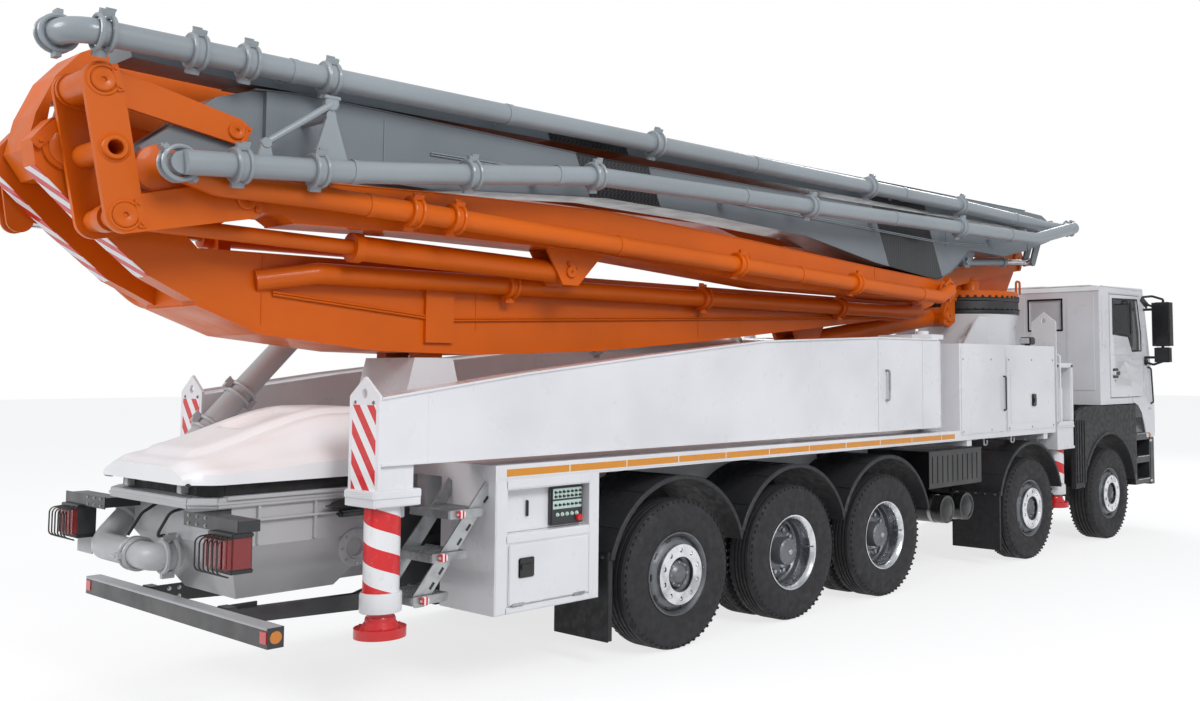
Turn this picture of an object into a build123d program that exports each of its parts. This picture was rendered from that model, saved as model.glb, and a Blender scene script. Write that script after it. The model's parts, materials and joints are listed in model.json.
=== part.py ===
from build123d import *
import os
from math import hypot, radians, tan

os.makedirs("parts", exist_ok=True)

# Concrete pump truck with a five-section folding boom, in millimetres.
# +X forward, +Y to the left, +Z up, ground at Z 0. Lengths are laid out from the rearmost
# axle; save() moves every piece so that the origin is under the middle of the whole machine.

# ------------------------------------------------------------------ driving dimensions
half_width = 1250          # legal width of the body, half
fit_gap = 0.3              # clearance between pieces that seat on each other
move_gap = 12              # clearance beside pieces that swing past each other

# wheels and axles
axle_x = [7200, 5240, 2580, 1300, 0]      # front axle first
tyre_radius = 525
single_width = 300
twin_tyre_width = 262
twin_gap = 40
wheel_face_y = 1235        # outer face of every wheel
rim_radius = 290
hub_radius = 110
stub_radius = 70
kingpin_y = 850
kingpin_radius = 60
spring_y = 520

# ladder frame and superstructure
rail_y = 400
rail_height = 260
rail_width = 80
rail_top = 1080
subframe_outer = 490       # outer face of the subframe that lies on the rails
frame_rear_x = -1900
frame_front_x = 8350
radiator_member_x = 8200    # front cross member, which the engine stands against
hanger_reach = 640         # spring hangers, ahead of and behind each axle
hanger_half = 35
deck_bottom = 1290
deck_top = 1385
deck_rear_x = -1620
deck_front_x = 3800

# turret and slewing ring
slew_x = 6050
ring_radius = 600
ring_bottom = 2650
ring_top = 2820

# boom pivots, X and Z
boom_foot = (6700, 3300)
rear_knuckle_2 = (-3750, 3150)
front_knuckle_3 = (4250, 2774)
rear_knuckle_4 = (-3450, 3030)
front_knuckle_5 = (6750, 3620)
pin_radius = 80            # boom foot and second section's knuckle
knuckle_pin = 65           # third section's knuckle
pin_gap = 0.5              # clearance of a pin or a rod in its bore
lift_base = (5310, 2560)
lift_eye = (2850, 2215)
lift_pin_radius = 60
lift_barrel_radius = 98
lift_rod_radius = 60
section_1_half = 330       # half width of the first section
section_1_top = 2660
section_2_sides = (-150, 200)
near_column = (-760, -420) # Y of the third and fourth sections
slim_column = (-720, -460) # the same where the knuckle links pass outside
section_5_sides = (-735, -455)
pipe_radius = 66
pipe_bend = 160             # centre line radius of the elbows along a section
knuckle_bend = 85           # and of those into a knuckle
inner_pipe_y = -890        # third and fifth sections
outer_pipe_y = -1048       # fourth section
coupling_radius = 84
hose_bore = 58
near_middle = sum(near_column) / 2

# bell crank and link of the rear knuckle between the third and fourth sections
lever_pivot = (-3000, 2910)
lever_top = (-3760, 3440)
lever_eye = (-3630, 2760)
link_eye = (-3050, 3290)
lever_plates = ((-805, -772), (-408, -375))
link_plates = ((-768, -741), (-439, -412))

# knuckle cylinders: base, barrel end and rod eye in X and Z, Y of the axis, radii, half eye width,
# and the rod's length inside the barrel
cylinders = {
    2: dict(base=(-1500, 2820), end=(-2700, 2820), eye=(-3740, 2820), y=428, barrel=62, rod=34, eye_half=34,
            held=260),
    3: dict(base=(2300, 3060), end=(3350, 3060), eye=(4020, 3060), y=-270, barrel=52, rod=28, eye_half=30,
            held=620),
    4: dict(base=(-570, 2665), end=(-2240, 2717), eye=lever_eye, y=near_middle, barrel=78, rod=46, eye_half=45,
            held=260),
    5: dict(base=(4950, 3120), end=(5900, 3187), eye=(6500, 3230), y=near_middle, barrel=46, rod=28, eye_half=34,
            held=600),
}

# rear outriggers
arm_outer_y = 1250
arm_inner_y = 950
arm_pivot = (3420, 1080)   # X and distance from the middle
arm_tip_x = -2405
arm_bottom = 1430
arm_top_at_pivot = 2240
jack_x = -2295
jack_y = 1100
jack_rod_radius = 75
jack_tube_radius = 100
jack_tube_bottom = 600
foot_radius = 145
foot_bottom = 460
foot_thickness = 55

# front outriggers
front_jack_x = 6050
front_beam_width = 215
front_beam_bottom = 1130
front_beam_height = 230
front_beam_gap = 30

# cab
cab_rear_x = 7050
cab_front_x = 8620
cab_skirt_x = 8380         # rear face of the panel under the windscreen
cab_half = 1200
cab_floor = 1600
cab_sill = 1500            # foot of the hollow under the dashboard
cab_roof = 2960
cab_wall = 45
door_rear_x = 7330
door_front_x = 8300

bumper_front_x = 8700
boom_rear_x = -4030


# ------------------------------------------------------------------ small helpers
def box(x0, x1, y0, y1, z0, z1):
    """Block between two corners."""
    return Pos((x0 + x1) / 2, (y0 + y1) / 2, (z0 + z1) / 2) * Box(x1 - x0, y1 - y0, z1 - z0)


def side_plate(outline, y0, y1):
    """Solid with an outline in X and Z, between two values of Y."""
    face = make_face(Polyline(*[(x, y0, z) for x, z in outline], close=True))
    return extrude(face, amount=y1 - y0, dir=(0, 1, 0))


def plan_plate(outline, z0, z1):
    """Solid with an outline in X and Y, between two heights."""
    face = make_face(Polyline(*[(x, y, z0) for x, y in outline], close=True))
    return extrude(face, amount=z1 - z0, dir=(0, 0, 1))


def cross_plate(outline, x0, x1):
    """Solid with an outline in Y and Z, between two values of X."""
    face = make_face(Polyline(*[(x0, y, z) for y, z in outline], close=True))
    return extrude(face, amount=x1 - x0, dir=(1, 0, 0))


def rod(start, end, radius):
    """Round bar between two points."""
    a, b = Vector(*start), Vector(*end)
    foot = Plane(origin=a, z_dir=b - a)
    return foot * Cylinder(radius, (b - a).length, align=(Align.CENTER, Align.CENTER, Align.MIN))


def tube_y(centre, radius, y0, y1, bore=0):
    """Round bar along Y at a point in X and Z, bored if a bore is given."""
    x, z = centre
    bar = rod((x, y0, z), (x, y1, z), radius)
    if bore:
        bar -= rod((x, y0 - 1, z), (x, y1 + 1, z), bore)
    return bar


def tube_z(x, y, radius, z0, z1, bore=0):
    """Upright round bar, bored if a bore is given."""
    bar = rod((x, y, z0), (x, y, z1), radius)
    if bore:
        bar -= rod((x, y, z0 - 1), (x, y, z1 + 1), bore)
    return bar


def bent_pipe(points, radius, bend):
    """Round pipe: straight runs joined by arcs of one bend radius."""
    corners = [Vector(*point) for point in points]
    start = corners[0]
    pipe = None
    for before, corner, after in zip(corners, corners[1:], corners[2:]):
        way_in = (corner - before).normalized()
        way_out = (after - corner).normalized()
        turn = way_in.get_angle(way_out)
        reach = bend * tan(radians(turn / 2))
        arc_start = corner - way_in * reach
        turn_axis = way_in.cross(way_out).normalized()
        centre = arc_start + turn_axis.cross(way_in) * bend
        run = rod(start, arc_start, radius)
        pipe = run if pipe is None else pipe + run
        pipe += revolve(Plane(origin=arc_start, z_dir=way_in) * Circle(radius), Axis(centre, turn_axis), turn)
        start = corner + way_out * reach
    return pipe + rod(start, corners[-1], radius)


def left_of(piece):
    """The same piece on the other side of the machine."""
    return mirror(piece, Plane.XZ)


def both(piece):
    """A piece and its mirror image as one group of solids."""
    return [piece, left_of(piece)]


origin_shift = Location((-(bumper_front_x + boom_rear_x) / 2, 0, 0))


def save(name, *pieces):
    """Write one node as STEP, moved to the machine's own origin."""
    solids = [s for piece in pieces for s in piece.solids()]
    whole = solids[0] if len(solids) == 1 else Compound(solids)
    export_step(whole.moved(origin_shift), f"parts/{name}.step")


# ------------------------------------------------------------------ wheels
def revolved(profile, y_face):
    """Turn an outline of radius and depth about a cross axis; depth runs inward from a face."""
    face = make_face(Polyline(*[(r, y_face + d, 0) for r, d in profile], close=True))
    return revolve(face, Axis.Y)


def tyre_profile(width, start=0):
    """Tyre section: radius and depth, clockwise from the outer bead."""
    shoulder = 40
    return [
        (rim_radius, start + 28), (tyre_radius * 0.76, start), (tyre_radius - 25, start + 15),
        (tyre_radius, start + shoulder), (tyre_radius, start + width - shoulder),
        (tyre_radius - 25, start + width - 15), (tyre_radius * 0.76, start + width),
        (rim_radius, start + width - 28),
    ]


def single_wheel():
    """Steered wheel on the right-hand side, centred on its axis, with its outer face at Y 0."""
    tyre = revolved(tyre_profile(single_width), 0)
    rim = revolved([
        (0, -10), (85, -10), (95, 20), (150, 38), (205, 38), (255, 95), (272, 95), (272, 40),
        (285, 18), (rim_radius, 18), (rim_radius, single_width - 20), (280, single_width - 20),
        (262, single_width - 60), (262, 140), (200, 80), (hub_radius, 80),
        (hub_radius, single_width - 40), (stub_radius + fit_gap, single_width - 40),
        (stub_radius + fit_gap, 60), (0, 60),
    ], 0)
    return tyre + rim


def twin_wheel():
    """Pair of driven wheels as one body, with a deep dish and a hub that stands out."""
    inner_start = twin_tyre_width + twin_gap
    width = inner_start + twin_tyre_width
    tyres = revolved(tyre_profile(twin_tyre_width), 0)
    tyres += revolved(tyre_profile(twin_tyre_width, inner_start), 0)
    rim = revolved([
        (0, 60), (95, 60), (105, 175), (200, 190), (240, 205), (262, 180), (262, 60),
        (285, 18), (rim_radius, 18), (rim_radius, width - 20), (280, width - 20),
        (262, width - 60), (262, 300), (200, 260), (hub_radius, 260),
        (hub_radius, width - 40), (stub_radius + fit_gap, width - 40),
        (stub_radius + fit_gap, 150), (0, 150),
    ], 0)
    return tyres + rim


for number, x in enumerate(axle_x, start=1):
    shape = twin_wheel() if number in (3, 4) else single_wheel()
    right = Pos(x, -wheel_face_y, tyre_radius) * shape
    save(f"wheel_{number}_right", right)
    save(f"wheel_{number}_left", left_of(right))


# ------------------------------------------------------------------ knuckles and axle beams
knuckle_half = 120
ear = 34
stub_tip_single = wheel_face_y - 62
stub_tip_twin = wheel_face_y - 152


def knuckle(x):
    """Steering knuckle on the right: kingpin barrel, brake drum and wheel stub."""
    post = tube_z(x, -kingpin_y, kingpin_radius, tyre_radius - knuckle_half, tyre_radius + knuckle_half)
    stub = tube_y((x, tyre_radius), stub_radius, -stub_tip_single, -kingpin_y)
    drum = tube_y((x, tyre_radius), 190, -wheel_face_y + single_width - 38, -kingpin_y - kingpin_radius - 10)
    return post + stub + drum


def steered_beam(x):
    """Front axle beam with a forked eye at each end."""
    beam = box(x - 55, x + 55, -kingpin_y + 130, kingpin_y - 130, tyre_radius - 70, tyre_radius + 70)
    for side in (-1, 1):
        y = side * kingpin_y
        inner = side * (kingpin_y - 170)
        for z0 in (tyre_radius - knuckle_half - fit_gap - ear, tyre_radius + knuckle_half + fit_gap):
            beam += tube_z(x, y, kingpin_radius, z0, z0 + ear)
            beam += box(x - 55, x + 55, min(y, inner), max(y, inner), z0, z0 + ear)
        web = sorted([inner, side * (kingpin_y - 110)])
        z_half = knuckle_half + fit_gap + ear
        beam += box(x - 55, x + 55, web[0], web[1], tyre_radius - z_half, tyre_radius + z_half)
    return beam


def driven_beam(x):
    """Driven axle: housing, banjo centre and a stub at each end."""
    beam = tube_y((x, tyre_radius), 85, -620, 620)
    beam += tube_y((x, tyre_radius), stub_radius, -stub_tip_twin, stub_tip_twin)
    bowl = Pos(x, 0, tyre_radius) * Sphere(215)
    return beam + bowl


spring_top = rail_top - rail_height - 40


def leaf_pack(x, length):
    """Leaf spring pack over an axle with its clamp."""
    leaves = [(length, 0), (length * 0.72, 1), (length * 0.46, 2)]
    pack = box(x - 60, x + 60, -spring_y - 45, -spring_y + 45, tyre_radius + 40, spring_top)
    for span, step in leaves:
        z = spring_top - 28 * step
        pack += box(x - span / 2, x + span / 2, -spring_y - 45, -spring_y + 45, z - 24, z)
    return pack


axles = []
for number, x in enumerate(axle_x, start=1):
    beam = driven_beam(x) if number in (3, 4) else steered_beam(x)
    for pack in both(leaf_pack(x, 2 * (hanger_reach - hanger_half - fit_gap))):
        beam += pack
    axles.append(beam)
    if number not in (3, 4):
        save(f"knuckle_{number}_right", knuckle(x))
        save(f"knuckle_{number}_left", left_of(knuckle(x)))
save("axle_beams", *axles)


# ------------------------------------------------------------------ chassis frame
def chassis_frame():
    """Two channel rails with cross members and spring hangers."""
    frame = None
    for side in (-1, 1):
        y0, y1 = sorted([side * rail_y, side * (rail_y + rail_width)])
        rail = box(frame_rear_x, frame_front_x, y0, y1, rail_top - rail_height, rail_top)
        frame = rail if frame is None else frame + rail
    for x in (-1820, -700, 650, 1940, 3300, 4500, 5950, 6500, radiator_member_x):
        frame += box(x - 60, x + 60, -rail_y - 10, rail_y + 10, rail_top - rail_height + 40, rail_top - 30)
    for x in axle_x:
        for offset in (-hanger_reach, hanger_reach):
            for side in (-1, 1):
                y0, y1 = sorted([side * (rail_y + rail_width - 5), side * (spring_y + 45)])
                hanger = box(x + offset - hanger_half, x + offset + hanger_half, y0, y1, spring_top - 80, spring_top + 60)
                frame += hanger
    return frame


save("chassis_frame", chassis_frame())
save("engine_block", box(7150, radiator_member_x - 60 - fit_gap, -330, 330, 700, 1480))

# ------------------------------------------------------------------ tanks and boxes under the deck
air_tanks = []
for x in (3720, 4080):
    tank = rod((x, -1150, 640), (x, -500, 640), 130)
    tank += box(x - 40, x + 40, -700, -rail_y - rail_width - fit_gap, 760, 860)
    air_tanks.append(tank)
fuel_tank = fillet(box(3350, 4300, 560, 1180, 480, 1080).edges().filter_by(Axis.X), 90)
fuel_tank += box(3500, 4150, rail_y + rail_width + fit_gap, 600, 850, 950)
battery_box = box(3350, 4300, -1180, -subframe_outer - fit_gap, 860, 1200)
save("side_tanks", *air_tanks, fuel_tank, battery_box)

# ------------------------------------------------------------------ superstructure
beam_z = (front_beam_bottom, front_beam_bottom + front_beam_height)
lane_offset = (front_beam_width + front_beam_gap) / 2
housing_half_y = 880
housing_x = (front_jack_x - lane_offset - front_beam_width / 2 - 30,
             front_jack_x + lane_offset + front_beam_width / 2 + 30)
subframe_bottom = rail_top + fit_gap
box_front_x = 5790
box_rear_x = 3800
box_top = 2220
cradle_x = -1430
cradle_top = 2050


def superstructure():
    """Subframe, deck, slewing tower, front outrigger housing and boom cradle."""
    body = box(deck_rear_x, deck_front_x, -half_width, half_width, deck_bottom, deck_top)
    for side in (-1, 1):
        y0, y1 = sorted([side * (rail_y - 10), side * subframe_outer])
        body += box(deck_rear_x + 20, housing_x[1], y0, y1, subframe_bottom, deck_bottom + 10)
    housing = box(*housing_x, -housing_half_y, housing_half_y, subframe_bottom, beam_z[1] + 40)
    body += housing
    for x in (box_rear_x + 150, box_front_x - 250):
        body += box(x, x + 90, -half_width + 15, half_width - 15, deck_bottom - 60, deck_bottom)
    tower_foot = plan_plate([(5150, -620), (5150, 620), (6640, 620), (6640, -620)], deck_bottom, deck_bottom + 120)
    tower = tube_z(slew_x, 0, ring_radius - 60, deck_bottom, ring_bottom)
    flange = tube_z(slew_x, 0, ring_radius, ring_bottom - 60, (ring_bottom + ring_top) / 2)
    body += tower_foot + tower + flange
    for y in (-440, 360):
        body += side_plate([(4700, deck_bottom), (5300, 2300), (5560, 2380), (5900, 2380),
                            (5900, deck_bottom)], y, y + 80)
    body += box(4700, 5200, -440, 440, deck_bottom, deck_bottom + 95)
    cradle = side_plate([(cradle_x - 320, deck_top - 5), (cradle_x - 150, cradle_top),
                         (cradle_x + 150, cradle_top), (cradle_x + 320, deck_top - 5)], -300, 300)
    body += cradle
    for side in (-1, 1):
        x, y = arm_pivot[0], side * arm_pivot[1]
        lug = [(x - 180, side * 700), (x - 180, y), (x - 100, side * half_width),
               (x + 100, side * half_width), (x + 330, side * 900), (x + 330, side * 700)]
        body += plan_plate(lug, arm_top_at_pivot + move_gap, arm_top_at_pivot + move_gap + 45)
        body += box(x + 230, x + 330, *sorted([side * 700, side * 900]), deck_top - 5,
                    arm_top_at_pivot + move_gap + 45)
        body += tube_z(x, y, 60, deck_top - 5, arm_top_at_pivot + move_gap + 80)
    for lane in (-lane_offset, lane_offset):
        x = front_jack_x + lane
        half = front_beam_width / 2 + 3
        body -= box(x - half, x + half, -housing_half_y - 5, housing_half_y + 5, beam_z[0] - fit_gap, beam_z[1] + 3)
    return body


save("superstructure", superstructure())

# ------------------------------------------------------------------ boxes, cabinets and mudguards
def front_box():
    """Tall equipment box on the right, ahead of the rear outrigger's pivot."""
    outer = box(box_rear_x, box_front_x, -half_width, -940, deck_bottom + fit_gap, box_top)
    handle = box(5250, 5300, -half_width - 25, -half_width, 1600, 1700)
    seam = box(4700, 4708, -half_width - 1, -half_width + 8, deck_bottom + 40, box_top - 20)
    return outer + handle - seam


save("front_boxes", *both(front_box()))

cabinet_front_x = -785


def rear_cabinet():
    """Cabinet under the rear of the deck: open control recess above, locker door below."""
    body = box(deck_rear_x, cabinet_front_x, -half_width, -690, 480, deck_bottom - fit_gap)
    body -= box(deck_rear_x + 80, cabinet_front_x - 80, -half_width - 1, -half_width + 90, 960, 1230)
    body -= box(deck_rear_x + 60, cabinet_front_x - 60, -half_width - 1, -half_width + 8, 520, 528)
    latch = box(-1430, -1330, -half_width - 22, -half_width, 700, 800)
    return body + latch


def step_ladder():
    """Three treads between two sloping stringers behind the cabinet."""
    ladder = None
    for y in (-1180, -800):
        rail = side_plate([(-1620, 1270), (-1640, 1290), (-2160, 640), (-2120, 600), (-2060, 600),
                           (-1622, 1180)], y, y + 12)
        ladder = rail if ladder is None else ladder + rail
    for x, z in ((-1780, 1090), (-1900, 850), (-2020, 620)):
        ladder += box(x - 130, x + 110, -1190, -790, z, z + 35)
    return ladder


save("rear_cabinets", *both(rear_cabinet()))
save("access_steps", *both(step_ladder()))

guard_inner = 668
guard_thick = 26


def guard_ring(x, y0, y1, radius=guard_inner):
    """Full mudguard ring about an axle, before it is trimmed."""
    return tube_y((x, tyre_radius), radius + guard_thick, y0, y1, radius)


def mud_flap(x, outer):
    """Rubber flap that hangs from the rear end of a mudguard."""
    return box(x - guard_inner - 20, x - guard_inner + 22, outer + 10, -700, 170, 750)


def mudguards():
    """Right-hand mudguards over all five axles, with the rubber flaps they carry."""
    outer, inner = -half_width + 5, -640
    cutter = [tube_y((x, tyre_radius), guard_inner, outer - 10, inner + 10) for x in axle_x]
    rear = None
    for x in axle_x[2:]:
        ring = guard_ring(x, outer, inner)
        rear = ring if rear is None else rear + ring
    for tool in cutter[2:]:
        rear -= tool
    rear = rear - box(-2000, 5000, -1300, 0, -300, 700)
    rear += mud_flap(axle_x[4], outer)
    second = guard_ring(axle_x[1], outer, inner) - box(4000, 6500, -1300, 0, -300, 700)
    second += mud_flap(axle_x[1], outer)
    for x in (axle_x[1], axle_x[2], axle_x[4]):
        bracket = box(x - 40, x + 40, inner - 10, -subframe_outer - fit_gap,
                      tyre_radius + guard_inner - 90, tyre_radius + guard_inner + 5)
        if x == axle_x[1]:
            second += bracket
        else:
            rear += bracket
    front = side_plate([(6300, 640), (6300, 1470), (6560, 1545), (7960, 1545), (7960, 700)],
                       -1235, -1180)
    front += guard_ring(axle_x[0], -1235, inner, 690) - box(6000, 8400, -1300, 0, -200, 640)
    front -= tube_y((axle_x[0], tyre_radius), 690, -1300, -600)
    front -= box(6000, 8400, -1300, 0, -300, 640)
    front += box(axle_x[0] - 40, axle_x[0] + 40, inner - 10, -rail_y - rail_width - fit_gap, 1040, 1225)
    front -= box(axle_x[0] - 60, axle_x[0] + 60, -700, -rail_y, 1226, 1400)
    return rear, second, front


for_side = mudguards()
save("mudguards", *[piece for part in for_side for piece in both(part)])

# ------------------------------------------------------------------ rear end
hopper_x = (-2950, -1960)
hopper_half = 640
hopper_rim = 1270
hopper_floor = 640
hopper_wall = 14


def hopper():
    """Open-topped hopper with sloping walls and a flanged rim."""
    x0, x1 = hopper_x
    middle = (x0 + x1) / 2

    def shell(offset):
        rim = Plane.XY.offset(hopper_rim) * Pos(middle, 0) * Rectangle(
            x1 - x0 - 2 * offset, 2 * (hopper_half - offset))
        waist = Plane.XY.offset(980) * Pos(middle, 0) * Rectangle(
            x1 - x0 - 2 * offset, 2 * (hopper_half - offset))
        foot = Plane.XY.offset(hopper_floor + offset) * Pos(middle, 0) * Rectangle(
            (x1 - x0) * 0.62 - 2 * offset, 2 * (330 - offset))
        return loft([foot, waist], ruled=True) + loft([waist, rim], ruled=True)

    body = shell(0) + box(x0 - 40, x1 + 40, -hopper_half - 40, hopper_half + 40, hopper_rim - 20, hopper_rim)
    opening = Plane.XY.offset(hopper_rim - 21) * Pos(middle, 0) * Rectangle(
        x1 - x0 - 2 * hopper_wall, 2 * (hopper_half - hopper_wall))
    body -= shell(hopper_wall) + extrude(opening, amount=60)
    for side in (-1, 1):
        y0, y1 = sorted([side * rail_y, side * (rail_y + rail_width)])
        body += box(x1 - hopper_wall / 2, frame_rear_x - fit_gap, y0, y1, rail_top - rail_height, rail_top)
        body += hinge_ear(side)
    return body


lid_x = (-3180, -1990)
lid_half = 690
lid_axis = (-1965, 1315)
lid_pin = 8
lid_barrel = 18
barrel_y = (400, 458)
ear_y = (464, 480)


def hinge_ear(side):
    """Ear and pin on the hopper's rim that carry one hinge barrel of the hood."""
    x, z = lid_axis
    y0, y1 = sorted([side * ear_y[0], side * ear_y[1]])
    ear = tube_y(lid_axis, lid_barrel, y0, y1) + box(x - lid_barrel, x + lid_barrel, y0, y1, hopper_rim - 15, z)
    return ear + rod((x, side * (barrel_y[0] - 6), z), (x, side * ear_y[1], z), lid_pin)


def lid_barrels(body):
    """Hood with its two bored hinge barrels."""
    x, z = lid_axis
    for side in (-1, 1):
        y0, y1 = sorted([side * barrel_y[0], side * barrel_y[1]])
        body += tube_y(lid_axis, lid_barrel, y0, y1) + box(lid_x[1] - 10, x, y0, y1, z - 12, z + 12)
        body -= tube_y(lid_axis, lid_pin + 0.5, y0 - 1, y1 + 1)
    return body


def hopper_lid():
    """Domed hood over the hopper with a raised centre panel."""
    z0 = hopper_rim + fit_gap
    x0, x1 = lid_x
    base = plan_plate([(x0 + 120, -lid_half), (x0, -lid_half + 160), (x0, lid_half - 160),
                       (x0 + 120, lid_half), (x1, lid_half), (x1, -lid_half)], z0, z0 + 110)
    lower = Plane.XY.offset(z0 + 110) * Pos((x0 + x1) / 2 + 20, 0) * Rectangle(x1 - x0 - 150, 2 * lid_half - 110)
    upper = Plane.XY.offset(z0 + 410) * Pos((x0 + x1) / 2 + 190, 0) * Rectangle(x1 - x0 - 560, 2 * lid_half - 520)
    dome = loft([lower, upper], ruled=True)
    hollow_low = Plane.XY.offset(z0 - 1) * Pos((x0 + x1) / 2 + 20, 0) * Rectangle(x1 - x0 - 210, 2 * lid_half - 170)
    hollow_up = Plane.XY.offset(z0 + 380) * Pos((x0 + x1) / 2 + 190, 0) * Rectangle(x1 - x0 - 620, 2 * lid_half - 580)
    return lid_barrels(base + dome - loft([hollow_low, hollow_up], ruled=True))


save("hopper", hopper())
save("hopper_lid", hopper_lid())

outlet_z = 880
line_y = 800
deck_line_y = 580
line_radius = 80
line_top = 2200


def delivery_line():
    """Pipe from the hopper's outlet, up its left side and forward to the slewing tower."""
    low = bent_pipe([(hopper_x[0] - fit_gap, 0, outlet_z), (-3080, 0, outlet_z), (-3080, line_y, outlet_z),
                     (-2560, line_y, 1450), (-1860, line_y, line_top), (-1200, deck_line_y, line_top),
                     (4150, deck_line_y, line_top), (4450, 0, 1900), (5600, 0, 1900)], line_radius, 100)
    for x in (-1000, 800, 2600):
        low += rod((x - 45, deck_line_y, line_top), (x + 45, deck_line_y, line_top), line_radius + 18)
    for x in (-900, 3700):
        low += box(x - 30, x + 30, deck_line_y - 50, deck_line_y + 50, deck_top + fit_gap, line_top)
    tower = tube_z(slew_x, 0, ring_radius - 60 + fit_gap, deck_bottom, ring_bottom)
    return low - tower


save("delivery_line", delivery_line())


def rear_guard():
    """Under-run bumper on two curved arms, with the lamp bars above it."""
    bumper = box(-3010, -2920, -1200, 1200, 525, 632)
    for side in (-1, 1):
        y0, y1 = sorted([side * 470, side * 530])
        arm = side_plate([(-2930, 540), (-2930, 620), (-2100, 600), (-1750, 700), (-1690, 820),
                          (-1500, 820), (-1560, 640), (-2050, 500)], y0, y1)
        arm += box(-1700, -1500, *sorted([side * (rail_y + rail_width + fit_gap), side * 500]), 700, 900)
        bumper += arm
    return bumper


def lamp_bar():
    """Right-hand lamp cluster on its arm, fixed to the hopper's rim corner."""
    arm = box(-3160, -3040, -1150, -560, 1130, 1190)
    foot = box(-3160, hopper_x[0] - fit_gap, -hopper_half, -560, 1130, 1190)
    lamps = box(-3190, -3080, -1150, -890, 930, 1120)
    hanger = box(-3150, -3090, -1050, -990, 1110, 1140)
    return arm + foot + lamps + hanger


save("rear_guard", rear_guard(), *both(lamp_bar()))

# ------------------------------------------------------------------ cab
def cab_outline(inset=0):
    """Side view of the cab; the inset gives the inside of its walls."""
    w = inset
    if not w:
        return [(cab_rear_x, cab_floor - 45), (cab_rear_x, cab_roof - 70), (cab_rear_x + 90, cab_roof),
                (8330, cab_roof + 20), (8545, 2000), (cab_front_x, 1600), (cab_front_x, 1130),
                (cab_skirt_x, 1130), (cab_skirt_x, cab_floor - 45)]
    return [(cab_rear_x + w, cab_floor), (cab_rear_x + w, cab_roof - 90), (cab_rear_x + 110, cab_roof - w),
            (8295, cab_roof - w + 18), (8500, 1990), (cab_front_x - w, 1600), (cab_front_x - w, cab_sill),
            (cab_skirt_x + 20, cab_sill), (cab_skirt_x + 20, cab_floor)]


def door_outline(gap):
    """Side view of the door, or of its opening when the gap is 0."""
    g = gap
    return [(door_rear_x + g, 1630 + g), (door_rear_x + g, 2875 - g), (8190 - g, 2885 - g),
            (door_front_x - g, 2400), (door_front_x - g, 1630 + g)]


door_window = [(7430, 2390), (7430, 2810), (8130, 2820), (8225, 2400), (8225, 2210), (7960, 2210), (7860, 2390)]
screen = [(8225, 2850), (8445, 2090), (8700, 2090), (8700, 2850)]
rear_window = (-720, -300, 2450, 2800)


hinge_x = door_front_x + 6
hinge_y = cab_half + 5
hinge_heights = (1770, 2330)
hinge_half = 30


def cab_shell():
    """Cab body with door openings, windscreen and rear window cut out."""
    outer = side_plate(cab_outline(), -cab_half, cab_half)
    shell = outer - side_plate(cab_outline(cab_wall), -cab_half + cab_wall, cab_half - cab_wall)
    for side in (-1, 1):
        y0, y1 = sorted([side * (cab_half + 5), side * (cab_half - cab_wall - 5)])
        shell -= side_plate(door_outline(0), y0, y1)
    shell -= side_plate(screen, -cab_half + 110, cab_half - 110)
    y0, y1, z0, z1 = rear_window
    for low, high in ((y0, y1), (-y1, -y0)):
        shell -= box(cab_rear_x - 5, cab_rear_x + cab_wall + 5, low, high, z0, z1)
    for side in (-1, 1):
        y = side * hinge_y
        for z in hinge_heights:
            shell -= tube_z(hinge_x, y, 22, z - hinge_half - 2, z + hinge_half + 2)
            shell += tube_z(hinge_x, y, 8, z - hinge_half - 10, z + hinge_half + 10)
            for low in (z - hinge_half - 22, z + hinge_half + 2):
                shell += tube_z(hinge_x, y, 12, low, low + 20)
    return shell


def cab_glass():
    """Windscreen and the two rear windows."""
    pane = side_plate([(8300, 2848), (8492, 2092), (8504, 2092), (8312, 2848)], -cab_half + 110 + fit_gap,
                      cab_half - 110 - fit_gap)
    y0, y1, z0, z1 = rear_window
    rear = [box(cab_rear_x + 18, cab_rear_x + 26, low + fit_gap, high - fit_gap, z0 + fit_gap, z1 - fit_gap)
            for low, high in ((y0, y1), (-y1, -y0))]
    return [pane, *rear]


def cab_door():
    """Right-hand door with its window opening, handle and pane."""
    leaf = side_plate(door_outline(8), -cab_half - 5, -cab_half + 50)
    leaf -= side_plate(door_window, -cab_half - 10, -cab_half + 60)
    leaf += box(7390, 7530, -cab_half - 40, -cab_half - 5, 1900, 1950)
    for z in hinge_heights:
        leaf += box(door_front_x - 30, hinge_x, -hinge_y, -hinge_y + 16, z - hinge_half, z + hinge_half)
        leaf += tube_z(hinge_x, -hinge_y, 16, z - hinge_half, z + hinge_half)
        leaf -= tube_z(hinge_x, -hinge_y, 8 + fit_gap, z - hinge_half - 1, z + hinge_half + 1)
    pane = side_plate(door_window, -cab_half + 15, -cab_half + 23)
    inner = scale(pane, by=(0.9992, 1, 0.9992))
    inner = Pos(pane.center().X - inner.center().X, 0, pane.center().Z - inner.center().Z) * inner
    return leaf, inner


save("cab_shell", cab_shell())
save("cab_glass", *cab_glass())
leaf, pane = cab_door()
save("door_right", leaf, pane)
save("door_left", left_of(leaf), left_of(pane))


def seat(y):
    """Driver's or passenger's seat: base, cushion and back."""
    base = box(7330, 7700, y - 180, y + 180, cab_floor + fit_gap, cab_floor + 260)
    cushion = box(7300, 7800, y - 240, y + 240, cab_floor + 260, cab_floor + 400)
    back = side_plate([(7300, cab_floor + 300), (7160, cab_floor + 950), (7270, cab_floor + 980),
                       (7430, cab_floor + 380)], y - 230, y + 230)
    return base + cushion + back


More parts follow.
